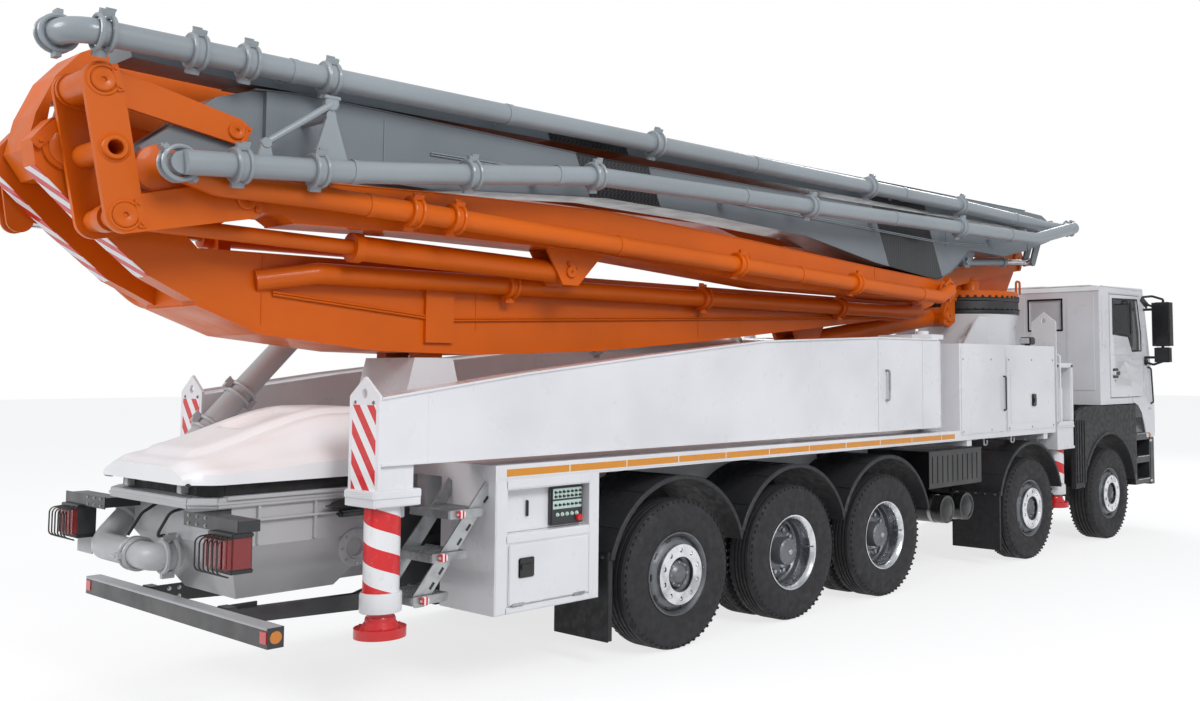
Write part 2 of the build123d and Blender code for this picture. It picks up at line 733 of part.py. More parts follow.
dash_rear = cab_skirt_x + 20 + fit_gap
dash_foot = cab_sill + fit_gap
dash = side_plate([(dash_rear, dash_foot), (dash_rear, cab_floor + 300), (8180, cab_floor + 330),
                   (8130, cab_floor + 460), (8450, cab_floor + 480), (8520, 1780), (8540, 1640), (8540, dash_foot)],
                  -1120, 1120)
wheel_post = rod((8220, 480, cab_floor + 380), (8020, 480, cab_floor + 560), 28)
steering_wheel = Location((8000, 480, cab_floor + 580), (0, -48, 0)) * Torus(200, 18)
spoke = rod((8020, 480, cab_floor + 560), (7998, 480, cab_floor + 582), 60)
bar = Location((8000, 480, cab_floor + 580), (0, -48, 0)) * Box(40, 400, 14)
save("cab_interior", seat(480), seat(-480), dash + wheel_post + spoke + bar + steering_wheel)


def cab_bumper():
    """Bumper across the front with a step box behind each corner."""
    rear_x = 8450
    outline = [(rear_x, -1210), (8560, -1210), (8665, -1130), (bumper_front_x, -900), (bumper_front_x, 900),
               (8665, 1130), (8560, 1210), (rear_x, 1210)]
    body = plan_plate(outline, 540, 1120)
    body -= box(rear_x - 1, 8600, -330, 330, 500, 1200)
    for side in (-1, 1):
        y0, y1 = sorted([side * 1205, side * 930])
        steps = box(7990, cab_skirt_x - fit_gap, y0, y1, 560, 1540) + box(8300, rear_x + 10, y0, y1, 560, 1120)
        for z in (620, 900, 1180):
            cut = sorted([side * 1215, side * 1010])
            steps -= box(8040, 8420, *cut, z, z + 200)
        body += steps
        body += box(8320, rear_x + 10, *sorted([side * (rail_y + rail_width + fit_gap), side * 1000]), 860, 1000)
    return body


def mirrors():
    """Right-hand mirror: two arms and a tall glass housing with a wide-angle one below."""
    head = box(8290, 8390, -1560, -1330, 2260, 2800)
    head += box(8300, 8380, -1540, -1350, 2060, 2240)
    head += box(8330, 8350, -1460, -1430, 2230, 2270)
    for z in (2120, 2720):
        head += rod((8360, -cab_half + 0, z), (8345, -1350, z), 16)
    return head


save("cab_bumper", cab_bumper())
mirror_gap = box(8000, 8600, -cab_half - fit_gap, -cab_half + 40, 1900, 3000)
save("mirrors", *both(mirrors() - mirror_gap))

# ------------------------------------------------------------------ outriggers
jack_plate_top = 1930


def jack_tube(x, y, top):
    """Outer tube of a support jack with its collar, before it is bored."""
    tube = tube_z(x, y, jack_tube_radius, jack_tube_bottom, top)
    return tube + tube_z(x, y, jack_tube_radius + 14, jack_tube_bottom, jack_tube_bottom + 95)


def jack_bore(x, y, top):
    """Bore that a jack's rod slides in."""
    return tube_z(x, y, jack_rod_radius + fit_gap, jack_tube_bottom - 1, top)


def jack_leg(x, y, top):
    """Sliding rod of a support jack with its round foot."""
    leg = tube_z(x, y, jack_rod_radius, foot_bottom + foot_thickness, top)
    leg += tube_z(x, y, foot_radius, foot_bottom, foot_bottom + foot_thickness)
    cone = Pos(x, y, foot_bottom + foot_thickness) * Cone(110, jack_rod_radius, 50,
                                                            align=(Align.CENTER, Align.CENTER, Align.MIN))
    return leg + cone


def pointed_plate(x0, x1, y0, y1, bottom, top):
    """Plate across the machine with a pointed top and a lifting hole."""
    middle = (y0 + y1) / 2
    plate = cross_plate([(y0, bottom), (y0, top - 110), (middle, top), (y1, top - 110), (y1, bottom)], x0, x1)
    return plate - rod((x0 - 1, middle, top - 95), (x1 + 1, middle, top - 95), 28)


def swing_arm():
    """Right-hand rear outrigger: tapering box arm, jack tube and marker plate."""
    px, py = arm_pivot
    bottom, top = arm_bottom, arm_top_at_pivot
    arm = side_plate([(arm_tip_x, bottom), (arm_tip_x, 1800), (-1410, 1935), (-370, 2050), (910, 2180),
                      (2450, top), (px, top), (px, bottom)], -arm_outer_y, -arm_inner_y)
    arm += tube_z(px, -py, arm_outer_y - py, bottom, top)
    arm += box(jack_x - 112, jack_x + 112, -arm_outer_y + 20, -arm_inner_y, 1285, bottom + 5)
    arm += box(jack_x - 150, jack_x + 150, -arm_outer_y, -arm_inner_y, 1200, 1290)
    arm += jack_tube(jack_x, -jack_y, 1250)
    arm -= jack_bore(jack_x, -jack_y, 1760)
    arm -= tube_z(px, -py, 60 + fit_gap, bottom - 1, top + 1)
    return arm + pointed_plate(arm_tip_x - 18, arm_tip_x, -arm_outer_y, -arm_inner_y + 10, 1200, jack_plate_top)


save("rear_outrigger_right", swing_arm())
save("rear_outrigger_left", left_of(swing_arm()))
rear_leg = jack_leg(jack_x, -jack_y, 1700)
save("rear_jack_right", rear_leg)
save("rear_jack_left", left_of(rear_leg))


def front_beam(side):
    """Sliding outrigger beam of one side, with its jack head; side is -1 on the right."""
    x = front_jack_x + side * lane_offset
    half = front_beam_width / 2
    ends = sorted([side * -(housing_half_y - 30), side * 1010])
    beam = box(x - half, x + half, *ends, *beam_z)
    head = sorted([side * 965, side * 1235])
    z1 = beam_z[1] + 40
    beam += box(front_jack_x - 200, front_jack_x + 200, *head, beam_z[0] - 30, z1)
    beam += jack_tube(front_jack_x, side * jack_y, beam_z[0])
    beam -= jack_bore(front_jack_x, side * jack_y, z1 + 1)
    beam += tube_z(front_jack_x, side * jack_y, jack_tube_radius, z1, 1760) - tube_z(
        front_jack_x, side * jack_y, jack_rod_radius + fit_gap, z1 - 1, 1740)
    plate_y = sorted([side * 960, side * half_width])
    beam += pointed_plate(front_jack_x - 218, front_jack_x - 200, *plate_y, beam_z[0] - 30, 2600)
    return beam


front_leg = jack_leg(front_jack_x, -jack_y, 1700)
save("front_outrigger_right", front_beam(-1))
save("front_outrigger_left", front_beam(1))
save("front_jack_right", front_leg)
save("front_jack_left", left_of(front_leg))


# ------------------------------------------------------------------ turret and boom
turret_deck = ring_top + 40
cheek_inner = 165
cheek_thick = 60


def turret():
    """Slewing base with cheeks for the boom foot and brackets for the lift cylinder."""
    body = tube_z(slew_x, 0, ring_radius, (ring_bottom + ring_top) / 2 + fit_gap, turret_deck)
    fx, fz = boom_foot
    cheek = [(5600, ring_top), (5900, 3080), (fx - 160, fz + 120), (fx, fz + 170), (fx + 160, fz + 100),
             (fx + 180, fz - 50), (6560, ring_top)]
    lx, lz = lift_base
    bracket = [(5800, ring_top - 75), (5800, 2900), (5600, 2980), (lx - 10, lz + 240), (lx - 115, lz + 40),
               (lx - 115, lz - 80), (lx, lz - 120), (lx + 126, lz - 60), (lx + 126, ring_top - 75)]
    for y0 in (-cheek_inner - cheek_thick, cheek_inner):
        body += side_plate(cheek, y0, y0 + cheek_thick) + side_plate(bracket, y0, y0 + cheek_thick)
    body += box(5700, 6450, -cheek_inner - cheek_thick, cheek_inner + cheek_thick, ring_top, ring_top + 130)
    body += tube_y(boom_foot, pin_radius, -section_1_half - 10, section_1_half + 10)
    return body + tube_y(lift_base, lift_pin_radius, -cheek_inner - cheek_thick, cheek_inner + cheek_thick)


save("turret", turret())

lift_span = hypot(lift_eye[0] - lift_base[0], lift_eye[1] - lift_base[1])
lift_along = ((lift_eye[0] - lift_base[0]) / lift_span, (lift_eye[1] - lift_base[1]) / lift_span)
lift_barrel_length = lift_span - 190


def on_lift_axis(distance):
    """Point on the lift cylinder's axis at a distance from its base pin."""
    return (lift_base[0] + lift_along[0] * distance, 0, lift_base[1] + lift_along[1] * distance)


def lift_cylinder():
    """Barrel of the lift cylinder with its base eye and gland."""
    barrel = rod(on_lift_axis(0), on_lift_axis(lift_barrel_length), lift_barrel_radius)
    barrel += tube_y(lift_base, lift_pin_radius + 50, -cheek_inner + 5, cheek_inner - 5)
    barrel -= rod(on_lift_axis(180), on_lift_axis(lift_barrel_length + 1), lift_rod_radius + pin_gap)
    return barrel - tube_y(lift_base, lift_pin_radius + pin_gap, -cheek_inner, cheek_inner)


save("lift_cylinder", lift_cylinder())
save("lift_rod", rod(on_lift_axis(240), on_lift_axis(lift_span - 40), lift_rod_radius)
     + tube_y(lift_eye, 88, -100, 100))


def slope_z(points, x):
    """Height of a run of points in X and Z at a given X."""
    for (xa, za), (xb, zb) in zip(points, points[1:]):
        if min(xa, xb) <= x <= max(xa, xb) and xa != xb:
            return za + (x - xa) / (xb - xa) * (zb - za)
    return points[-1][1]


def boom_pipe(points, pipe_y, couplings, brackets, wall_y):
    """Pipe beside a section, through points in X and Z, with couplings and brackets at given X."""
    pipe = bent_pipe([(x, pipe_y, z) for x, z in points], pipe_radius, pipe_bend)
    for x in couplings:
        z_low, z_high = slope_z(points, x - 40), slope_z(points, x + 40)
        pipe += rod((x - 40, pipe_y, z_low), (x + 40, pipe_y, z_high), coupling_radius)
    for x in brackets:
        z = slope_z(points, x)
        y0, y1 = sorted([pipe_y, wall_y])
        pipe += box(x - 20, x + 20, y0, y1, z - 28, z + 28)
    return pipe


def link_plate(p, q, p_radius, q_radius, y0, y1):
    """Flat link between two pivots in X and Z, round at both ends."""
    length = hypot(q[0] - p[0], q[1] - p[1])
    nx, nz = -(q[1] - p[1]) / length, (q[0] - p[0]) / length
    web = side_plate([(p[0] + nx * p_radius, p[1] + nz * p_radius), (q[0] + nx * q_radius, q[1] + nz * q_radius),
                      (q[0] - nx * q_radius, q[1] - nz * q_radius), (p[0] - nx * p_radius, p[1] - nz * p_radius)],
                     y0, y1)
    return web + tube_y(p, p_radius, y0, y1) + tube_y(q, q_radius, y0, y1)


def with_barrel(body, number):
    """A section with the barrel of one knuckle cylinder and its gland, bored from the open end."""
    c = cylinders[number]
    (xa, za), (xb, zb) = c["base"], c["end"]
    length = hypot(xb - xa, zb - za)
    ux, uz = (xb - xa) / length, (zb - za) / length
    body += rod((xa, c["y"], za), (xb, c["y"], zb), c["barrel"])
    body += rod((xb - ux * 60, c["y"], zb - uz * 60), (xb, c["y"], zb), c["barrel"] * 1.18)
    bore_start = (xa + ux * c["barrel"] * 1.5, c["y"], za + uz * c["barrel"] * 1.5)
    return body - rod(bore_start, (xb + ux, c["y"], zb + uz), c["rod"] + pin_gap)


def rod_of(number):
    """Sliding rod of one knuckle cylinder, from inside its barrel to its eye."""
    c = cylinders[number]
    (xa, za), (xb, zb), (xe, ze) = c["base"], c["end"], c["eye"]
    length = hypot(xb - xa, zb - za)
    ux, uz = (xb - xa) / length, (zb - za) / length
    reach = hypot(xe - xa, ze - za)
    inside = (xa + ux * (length - c["held"]), c["y"], za + uz * (length - c["held"]))
    tip = (xa + ux * reach, c["y"], za + uz * reach)
    eye = tube_y((tip[0], tip[2]), c["rod"] * 1.6, c["y"] - c["eye_half"], c["y"] + c["eye_half"])
    return rod(inside, tip, c["rod"]) + eye


# ------------------------------------------------------------------ first section
def section_1():
    """Root section: deep box with a forked root and a forked rear end."""
    half = section_1_half
    belly = [(-3050, 2345), (-2670, 2190), (-1900, 2100), (-1100, 2080), (20, 2120), (1130, 2210),
             (3430, 2440), (4400, 2548), (4800, 2660), (5120, 2860)]
    top = [(5120, 3080), (4480, 2900), (4400, section_1_top), (-3050, section_1_top)]
    body = side_plate(belly + top, -half, half)
    fx, fz = boom_foot
    root = [(4480, 2600), (4800, 2665), (5150, 2870), (fx - 60, fz - 160), (fx + 90, fz - 140),
            (fx + 170, fz), (fx + 90, fz + 140), (fx - 100, fz + 160), (5150, 3100), (4480, 2900)]
    for y0 in (-half, half - 90):
        body += side_plate(root, y0, y0 + 90)
    body -= tube_y(boom_foot, pin_radius + pin_gap, -half - 1, half + 1)
    tail = [(-3040, 2350), (-3310, 2490), (-3620, 2760), (-3900, 3040), (-3920, 3180), (-3830, 3300),
            (-3640, 3300), (-3560, 3180), (-3040, section_1_top)]
    for y0, y1 in ((-half, section_2_sides[0] - move_gap), (section_2_sides[1] + move_gap, half)):
        body += side_plate(tail, y0, y1)
    body -= tube_y(rear_knuckle_2, pin_radius + pin_gap, -half - 1, half + 1)
    body += box(cradle_x - 110, cradle_x + 110, -half - 30, half + 30, 2150, section_1_top - 60)
    for y0 in (-260, 140):
        body += box(cradle_x - 90, cradle_x + 90, y0, y0 + 120, cradle_top + fit_gap, 2150)
    ex, ez = lift_eye
    for y0 in (-150, 110):
        body += side_plate([(ex - 260, 2470), (ex - 90, ez - 70), (ex + 90, ez - 70), (ex + 330, 2500)], y0, y0 + 40)
    for x in (-2600, cylinders[2]["base"][0]):
        body += box(x - 40, x + 40, half - 30, cylinders[2]["y"] + 12, 2560, cylinders[2]["base"][1])
    return with_barrel(body, 2)


def section_1_pipes():
    """Pipe along the near side, and the rear crossover out to the knuckle on the far side."""
    y = -section_1_half - 80
    near = [(4440, -section_1_half + 10, 2620), (4440, y, 2620), (4300, y, 2560), (-2350, y, 2560),
            (-2700, -section_1_half + 10, 2500)]
    pipe = bent_pipe(near, pipe_radius, knuckle_bend)
    for x in (3000, 1100, -900):
        pipe += rod((x - 40, y, 2560), (x + 40, y, 2560), coupling_radius)
        pipe += box(x + 60, x + 100, y, -section_1_half + 5, 2532, 2588)
    x2, z2 = rear_knuckle_2
    outer = 760
    return pipe + bent_pipe([(-2900, section_1_half - 30, 2420), (-2900, outer, 2420), (x2, outer, z2),
                             (x2, 600 + pipe_radius + fit_gap, z2)], pipe_radius, knuckle_bend)


save("boom_section_1", section_1() + section_1_pipes())
save("knuckle_rod_2", rod_of(2))


# ------------------------------------------------------------------ second section
def section_2():
    """Second section: rounded rear knuckle, long box, and a head that drops to the next knuckle."""
    y0, y1 = section_2_sides
    outline = [(-3660, 3010), (-3200, 3120), (-2500, 3235), (1500, 3235), (2700, 2960), (3900, 2720),
               (4150, 2690), (4370, 2705), (4380, 2850), (4200, 2960), (3000, 3500), (1500, 3760),
               (-3500, 3800), (-3640, 3720), (-3760, 3570), (-3850, 3350), (-3890, 3150), (-3800, 3010)]
    body = side_plate(outline, y0, y1)
    body -= side_plate([(-3780, 3420), (-3800, 3260), (-3680, 3300), (-3640, 3470)], y0 - 1, y1 + 1)
    body += tube_y(rear_knuckle_2, pin_radius, -section_1_half - 5, 520)
    body += tube_y(rear_knuckle_2, 125, -section_1_half - 28, -section_1_half - 5)
    for y in (372, 464):
        body += link_plate(rear_knuckle_2, cylinders[2]["eye"], 110, 70, y, y + 20)
    body += tube_y(front_knuckle_3, knuckle_pin, near_column[0] - 60, y1)
    x, z = cylinders[3]["base"]
    for x in (x + 60, cylinders[3]["end"][0] - 120):
        body += box(x - 40, x + 40, cylinders[3]["y"], y0 + 5, z - 30, z + 30)
    return with_barrel(body, 3)


def section_2_pipe():
    """Delivery pipe on the far side of the second section, from knuckle to knuckle."""
    y = section_1_half + move_gap + 90
    x0, z0 = rear_knuckle_2
    x1, z1 = front_knuckle_3
    pipe = bent_pipe([(x0, 500, z0), (x0, 600, z0), (x0 + 500, y, 3480), (1500, y, 3480), (3600, y, 2990),
                      (x1, y, z1), (x1, section_2_sides[1] - 10, z1)], pipe_radius, knuckle_bend)
    for x in (-2200, -300, 1300):
        pipe += rod((x - 40, y, 3480), (x + 40, y, 3480), coupling_radius)
        pipe += box(x + 60, x + 100, section_2_sides[1] - 5, y, 3452, 3508)
    return pipe


save("boom_section_2", section_2() + section_2_pipe())
save("knuckle_rod_3", rod_of(3))


# ------------------------------------------------------------------ third section
def section_3():
    """Third section: slender box from the front knuckle back to the tongue of the rear one."""
    y0, y1 = near_column
    outline = [(-3150, 2850), (-2760, 2850), (-2700, 2812), (-1870, 2830), (-470, 2820), (1660, 2676),
               (4200, 2674), (4250, 2870), (3100, 2930), (1300, 3040), (-300, 3120), (-1800, 3090), (-3150, 3035)]
    body = side_plate(outline, y0, y1) + tube_y(front_knuckle_3, 100, y0, section_2_sides[0] - 15)
    for y in (-325, -235):
        body += link_plate(front_knuckle_3, cylinders[3]["eye"], 88, 50, y, y + 20)
    body -= tube_y(front_knuckle_3, knuckle_pin + pin_gap, y0 - 1, section_2_sides[0])
    body += link_plate((-3120, 2965), rear_knuckle_4, 100, 115, near_middle - 50, near_middle + 50)
    body -= tube_y(rear_knuckle_4, 70 + pin_gap, near_middle - 60, near_middle + 60)
    body += tube_y(lever_pivot, 60, lever_plates[0][0] - 6, lever_plates[1][1] + 6)
    x, z = cylinders[4]["base"]
    for y in (near_middle - 100, near_middle + 82):
        body += side_plate([(x - 230, 2830), (x - 70, z - 95), (x + 70, z - 95), (x + 310, 2815)], y, y + 18)
    return with_barrel(body + tube_y((x, z), 40, near_middle - 106, near_middle + 106), 4)


def section_3_pipe():
    """Pipe of the third section, out to the ends of both knuckle pins."""
    run = [front_knuckle_3, (4050, 2690), (-2600, 2955), (-3200, 2960), rear_knuckle_4]
    pipe = boom_pipe(run, inner_pipe_y, (2600, 1000, -1700, -2000), (3700, 1800, -300, -2300), near_column[0] + 5)
    return pipe + tube_y(front_knuckle_3, 60, inner_pipe_y, near_column[0] - 70)


save("boom_section_3", section_3() + section_3_pipe())
save("knuckle_rod_4", rod_of(4))


def knuckle_lever():
    """Pair of bell-crank plates with their cross tubes; the rod's eye sits between two bosses."""
    low, high = lever_plates[0][0], lever_plates[1][1]
    middle = ((lever_top[0] + lever_eye[0]) / 2, (lever_top[1] + lever_eye[1]) / 2)
    lever = tube_y(lever_top, 60, low, high)
    for y0, y1 in lever_plates:
        lever += link_plate(lever_top, lever_eye, 95, 95, y0, y1)
        lever += link_plate(lever_eye, lever_pivot, 95, 110, y0, y1)
    lever += tube_y(middle, 62, low - 12, high)
    lever += tube_y(lever_eye, 60, low, near_middle - 60) + tube_y(lever_eye, 60, near_middle + 60, high)
    lever -= tube_y(lever_pivot, 60 + pin_gap, low - 20, high + 20)
    return lever - tube_y(middle, 38, low - 20, high + 20)


def knuckle_link():
    """Pair of links from the lever's top to the fourth section, tied by a sleeve on the tube."""
    low, high = link_plates[0][0], link_plates[1][1]
    link = tube_y(lever_top, 82, low, high)
    for y0, y1 in link_plates:
        link += link_plate(lever_top, link_eye, 92, 72, y0, y1)
    return link - tube_y(lever_top, 60 + pin_gap, low - 20, high + 20)


save("knuckle_lever", knuckle_lever())
save("knuckle_link", knuckle_link())


# ------------------------------------------------------------------ fourth section
def section_4():
    """Fourth section: deep lens-shaped box, slim at its rear fork and stepped at its front."""
    outline = [(-2950, 3165), (-2650, 3125), (-1800, 3120), (-310, 3225), (760, 3210), (2040, 3155),
               (3110, 2990), (4200, 2888), (4460, 2975), (4870, 3235), (5620, 3225), (6150, 3330),
               (6150, 3520), (4370, 3530), (1500, 3500), (-310, 3500), (-2130, 3550), (-2650, 3560),
               (-2950, 3540), (-3150, 3470), (-3250, 3380)]
    body = side_plate(outline, *near_column)
    trim = [(-3400, 2900), (-2880, 2900), (-2880, 3700), (-3400, 3700)]
    body -= side_plate(trim, near_column[0] - 1, slim_column[0])
    body -= side_plate(trim, slim_column[1], near_column[1] + 1)
    fork = [(-3450, 2920), (-3340, 3000), (-2900, 3165), (-2900, 3450), (-3200, 3420), (-3540, 3140)]
    for y0, y1 in ((slim_column[0], near_middle - 62), (near_middle + 62, slim_column[1])):
        body += side_plate(fork, y0, y1) + tube_y(rear_knuckle_4, 112, y0, y1)
    body += tube_y(rear_knuckle_4, 70, slim_column[0] - 8, slim_column[1] + 8)
    nose = [(6140, 3330), (6700, 3480), (6860, 3560), (6880, 3680), (6780, 3735), (6680, 3720), (6500, 3520),
            (6140, 3520)]
    for y0, y1 in ((near_column[0], -722), (-458, near_column[1])):
        body += side_plate(nose, y0, y1)
    body += tube_y(front_knuckle_5, 60, near_column[0] - 8, near_column[1] + 8)
    x, z = cylinders[5]["base"]
    for y in (near_middle - 80, near_middle + 54):
        body += side_plate([(x - 130, 3260), (x - 40, z - 60), (x + 50, z - 60), (x + 200, 3260)], y, y + 26)
    return with_barrel(body + tube_y((x, z), 30, near_middle - 90, near_middle + 90), 5)


def section_4_pipe():
    """Pipe of the fourth section, outside the third's and the fifth's."""
    run = [rear_knuckle_4, (-2650, 3085), (-2200, 3130), (-670, 3305), (4180, 3390), (5800, 3415), front_knuckle_5]
    pipe = boom_pipe(run, outer_pipe_y, (-3160, -2720, -1700, -670, 1740, 4180), (-2500, -1000, 900, 3000, 5200),
                     near_column[0] - fit_gap)
    for pivot in (rear_knuckle_4, front_knuckle_5):
        pipe += tube_y(pivot, 60, outer_pipe_y, inner_pipe_y - pipe_radius - 3)
    hanger = [(-2530, 3110), (-2760, 3110), (-2650, 3480)]
    return pipe + side_plate(hanger, outer_pipe_y - 12, outer_pipe_y + 12) + tube_y(
        (-2650, 3400), 30, outer_pipe_y - 12, near_column[0] - fit_gap)


save("boom_section_4", section_4())
save("boom_pipe_4", section_4_pipe())
save("knuckle_rod_5", rod_of(5))


# ------------------------------------------------------------------ fifth section
def section_5():
    """Tip section: slender tapering box with a tongue and a crank at its knuckle."""
    outline = [(6150, 3580), (-3000, 3580), (-3600, 3600), (-3620, 3700), (-3000, 3735), (6150, 3790)]
    body = side_plate(outline, *section_5_sides)
    tongue = [(6140, 3585), (6500, 3560), (6750, 3520), (6850, 3600), (6820, 3700), (6600, 3780), (6140, 3789)]
    body += side_plate(tongue, -716, -464)
    slot = [(6330, 3400), (6980, 3400), (6980, 3545), (6330, 3545)]
    for y in (near_middle - 65, near_middle + 39):
        body += link_plate((6700, 3600), cylinders[5]["eye"], 60, 50, y, y + 26)
    body -= side_plate(slot, near_middle - 39, near_middle + 39)
    return body - tube_y(front_knuckle_5, 60 + pin_gap, -730, -450)


def section_5_pipe():
    """Pipe of the tip section, turned across the end to the coupling for the end hose."""
    tip_x = boom_rear_x + coupling_radius
    z = 3655
    run = [front_knuckle_5, (6390, 3610), (4300, z), (tip_x + 260, z)]
    pipe = boom_pipe(run, inner_pipe_y, (4440, 2830, 60, -2580, -3060, -3340), (5600, 3400, 1200, -1300, -2800),
                     section_5_sides[0] - fit_gap)
    pipe += bent_pipe([(tip_x + 260, inner_pipe_y, z), (tip_x, inner_pipe_y, z), (tip_x, -640, z)],
                      pipe_radius, 130)
    pipe += rod((tip_x, -690, z), (tip_x, -640, z), coupling_radius)
    return pipe - rod((tip_x, -730, z), (tip_x, -639, z), hose_bore)


save("boom_section_5", section_5())
save("boom_pipe_5", section_5_pipe())
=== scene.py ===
import json
import math

import bmesh
import bpy
from mathutils import Matrix, Vector

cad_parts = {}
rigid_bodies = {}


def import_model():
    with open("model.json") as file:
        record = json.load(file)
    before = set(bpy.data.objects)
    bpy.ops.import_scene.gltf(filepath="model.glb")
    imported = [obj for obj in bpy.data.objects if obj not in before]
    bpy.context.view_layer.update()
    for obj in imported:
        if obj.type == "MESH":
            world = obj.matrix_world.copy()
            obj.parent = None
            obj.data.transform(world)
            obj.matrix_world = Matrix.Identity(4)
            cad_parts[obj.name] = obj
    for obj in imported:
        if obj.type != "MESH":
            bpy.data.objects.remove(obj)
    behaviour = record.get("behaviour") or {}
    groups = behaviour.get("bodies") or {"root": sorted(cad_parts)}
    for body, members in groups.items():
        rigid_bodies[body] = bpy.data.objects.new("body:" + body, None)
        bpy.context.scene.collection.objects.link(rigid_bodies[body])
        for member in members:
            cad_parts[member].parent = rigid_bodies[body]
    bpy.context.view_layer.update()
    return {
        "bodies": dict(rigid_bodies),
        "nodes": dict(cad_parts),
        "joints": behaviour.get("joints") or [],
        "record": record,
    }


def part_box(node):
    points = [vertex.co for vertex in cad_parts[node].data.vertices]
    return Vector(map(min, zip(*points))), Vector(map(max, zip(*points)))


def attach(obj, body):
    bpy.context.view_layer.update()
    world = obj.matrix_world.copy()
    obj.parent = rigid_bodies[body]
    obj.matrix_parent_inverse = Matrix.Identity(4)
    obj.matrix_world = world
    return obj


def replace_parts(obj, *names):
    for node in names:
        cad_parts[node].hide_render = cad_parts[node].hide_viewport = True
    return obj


# Concrete pump truck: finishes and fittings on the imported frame. Pieces are laid out in millimetres.
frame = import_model()
nodes = frame["nodes"]

wheel_low, wheel_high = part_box("wheel_5_right")
rear_axle_x = (wheel_low[0] + wheel_high[0]) / 2
axle_height = (wheel_low[2] + wheel_high[2]) / 2
BODY_FACE, DOOR_FACE, CAB_FACE = 1250, 1205, 1200     # outer faces, from the middle
SLEW_X, AXLE_Z = 6050, 525
ALONG, ACROSS, UP = (1, 0, 0), (0, 1, 0), (0, 0, 1)


class Hand:
    """Side being built: pieces are laid out on the left, and a way of -1 puts them on the right."""

    way = 1


def both_sides():
    """Name of each side in turn, with the hand set for what is built in between."""
    for side, Hand.way in (("right", -1), ("left", 1)):
        yield side


def spot(x, y, z):
    """Place in metres, from millimetres laid out forward of the rearmost axle."""
    return Vector((rear_axle_x + x / 1000, Hand.way * y / 1000, z / 1000))


def linked(name, data):
    """New object of the scene."""
    item = bpy.data.objects.new(name, data)
    bpy.context.scene.collection.objects.link(item)
    return item


def baked(item):
    """Plain mesh that an object's curves or modifiers give; the object itself goes."""
    view = bpy.context.evaluated_depsgraph_get()
    mesh = bpy.data.meshes.new_from_object(item.evaluated_get(view))
    bpy.data.objects.remove(item)
    return mesh


def add_node(tree, kind, inputs=(), **settings):
    """Node with its settings made, and each input set or linked."""
    node = tree.nodes.new(kind)
    for key, value in settings.items():
        setattr(node, key, value)
    for socket, value in dict(inputs).items():
        if isinstance(value, bpy.types.NodeSocket):
            tree.links.new(value, node.inputs[socket])
        else:
            node.inputs[socket].default_value = value
    return node


# ------------------------------------------------------------------ view and light
def set_camera():
    data = bpy.data.cameras.new("viewpoint")
    camera = linked("viewpoint", data)
    heading, pitch = math.radians(40.524), math.radians(4.0825)
    camera.location = spot(-6080.7, -7168.6, 1971.6)
    camera.rotation_euler = (math.pi / 2 + pitch, 0, heading - math.pi / 2)
    data.sensor_width = 36
    data.lens = 35.39
    data.shift_x, data.shift_y = -0.1326, -0.0545
    data.clip_end = 200
    bpy.context.scene.camera = camera


def area_lamp(name, place, target, size, power):
    data = bpy.data.lights.new(name, "AREA")
    data.shape, data.size, data.energy = "DISK", size, power
    lamp = linked(name, data)
    lamp.location = place
    lamp.rotation_euler = (Vector(target) - Vector(place)).to_track_quat("-Z", "Y").to_euler()


def open_tree(owner):
    """Emptied node tree of a world or material, and its kinds of ray."""
    owner.use_nodes = True
    owner.node_tree.nodes.clear()
    return owner.node_tree, add_node(owner.node_tree, "ShaderNodeLightPath").outputs


def set_light():
    world = bpy.data.worlds.new("studio")
    bpy.context.scene.world = world
    tree, rays = open_tree(world)
    seen = add_node(tree, "ShaderNodeMath", {0: rays["Is Camera Ray"], 1: rays["Is Transmission Ray"]},
                    operation="MAXIMUM").outputs[0]
    soft = add_node(tree, "ShaderNodeBackground", {"Color": (0.93, 0.96, 1.0, 1),
        "Strength": 0.62}).outputs[0]
    blank = add_node(tree, "ShaderNodeBackground", {"Color": (1, 1, 1, 1)}).outputs[0]
    mix = add_node(tree, "ShaderNodeMixShader", {0: seen, 1: soft, 2: blank}).outputs[0]
    add_node(tree, "ShaderNodeOutputWorld", {"Surface": mix})
    area_lamp("key", (-6, -15, 11), (0, 0, 1.5), 7, 1450)
    area_lamp("rear", (-16, 3, 8), (-3, 0, 1.5), 6, 700)
    area_lamp("front", (13, 6, 9), (2, 0, 1.5), 7, 700)


def lay_floor():
    reach, glow_share = 80, 0.5
    mesh = bpy.data.meshes.new("studio_floor")
    corners = [(-reach, -reach, 0), (reach, -reach, 0), (reach, reach, 0), (-reach, reach, 0)]
    mesh.from_pydata(corners, [], [(0, 1, 2, 3)])
    material = bpy.data.materials.new("pale_floor")
    tree, rays = open_tree(material)
    seen = add_node(tree, "ShaderNodeMath", {0: rays["Is Camera Ray"], 1: rays["Is Glossy Ray"]},
                    operation="MAXIMUM").outputs[0]
    share = add_node(tree, "ShaderNodeMath", {0: seen, 1: glow_share}, operation="MULTIPLY").outputs[0]
    matt = add_node(tree, "ShaderNodeBsdfDiffuse", {"Color": (0.55, 0.55, 0.56, 1)}).outputs[0]
    glow = add_node(tree, "ShaderNodeEmission", {"Strength": 1.5}).outputs[0]
    mix = add_node(tree, "ShaderNodeMixShader", {0: share, 1: matt, 2: glow}).outputs[0]
    add_node(tree, "ShaderNodeOutputMaterial", {"Surface": mix})
    mesh.materials.append(material)
    linked("studio_floor", mesh)


bpy.context.scene.view_settings.view_transform = "Standard"
set_camera()
set_light()
lay_floor()


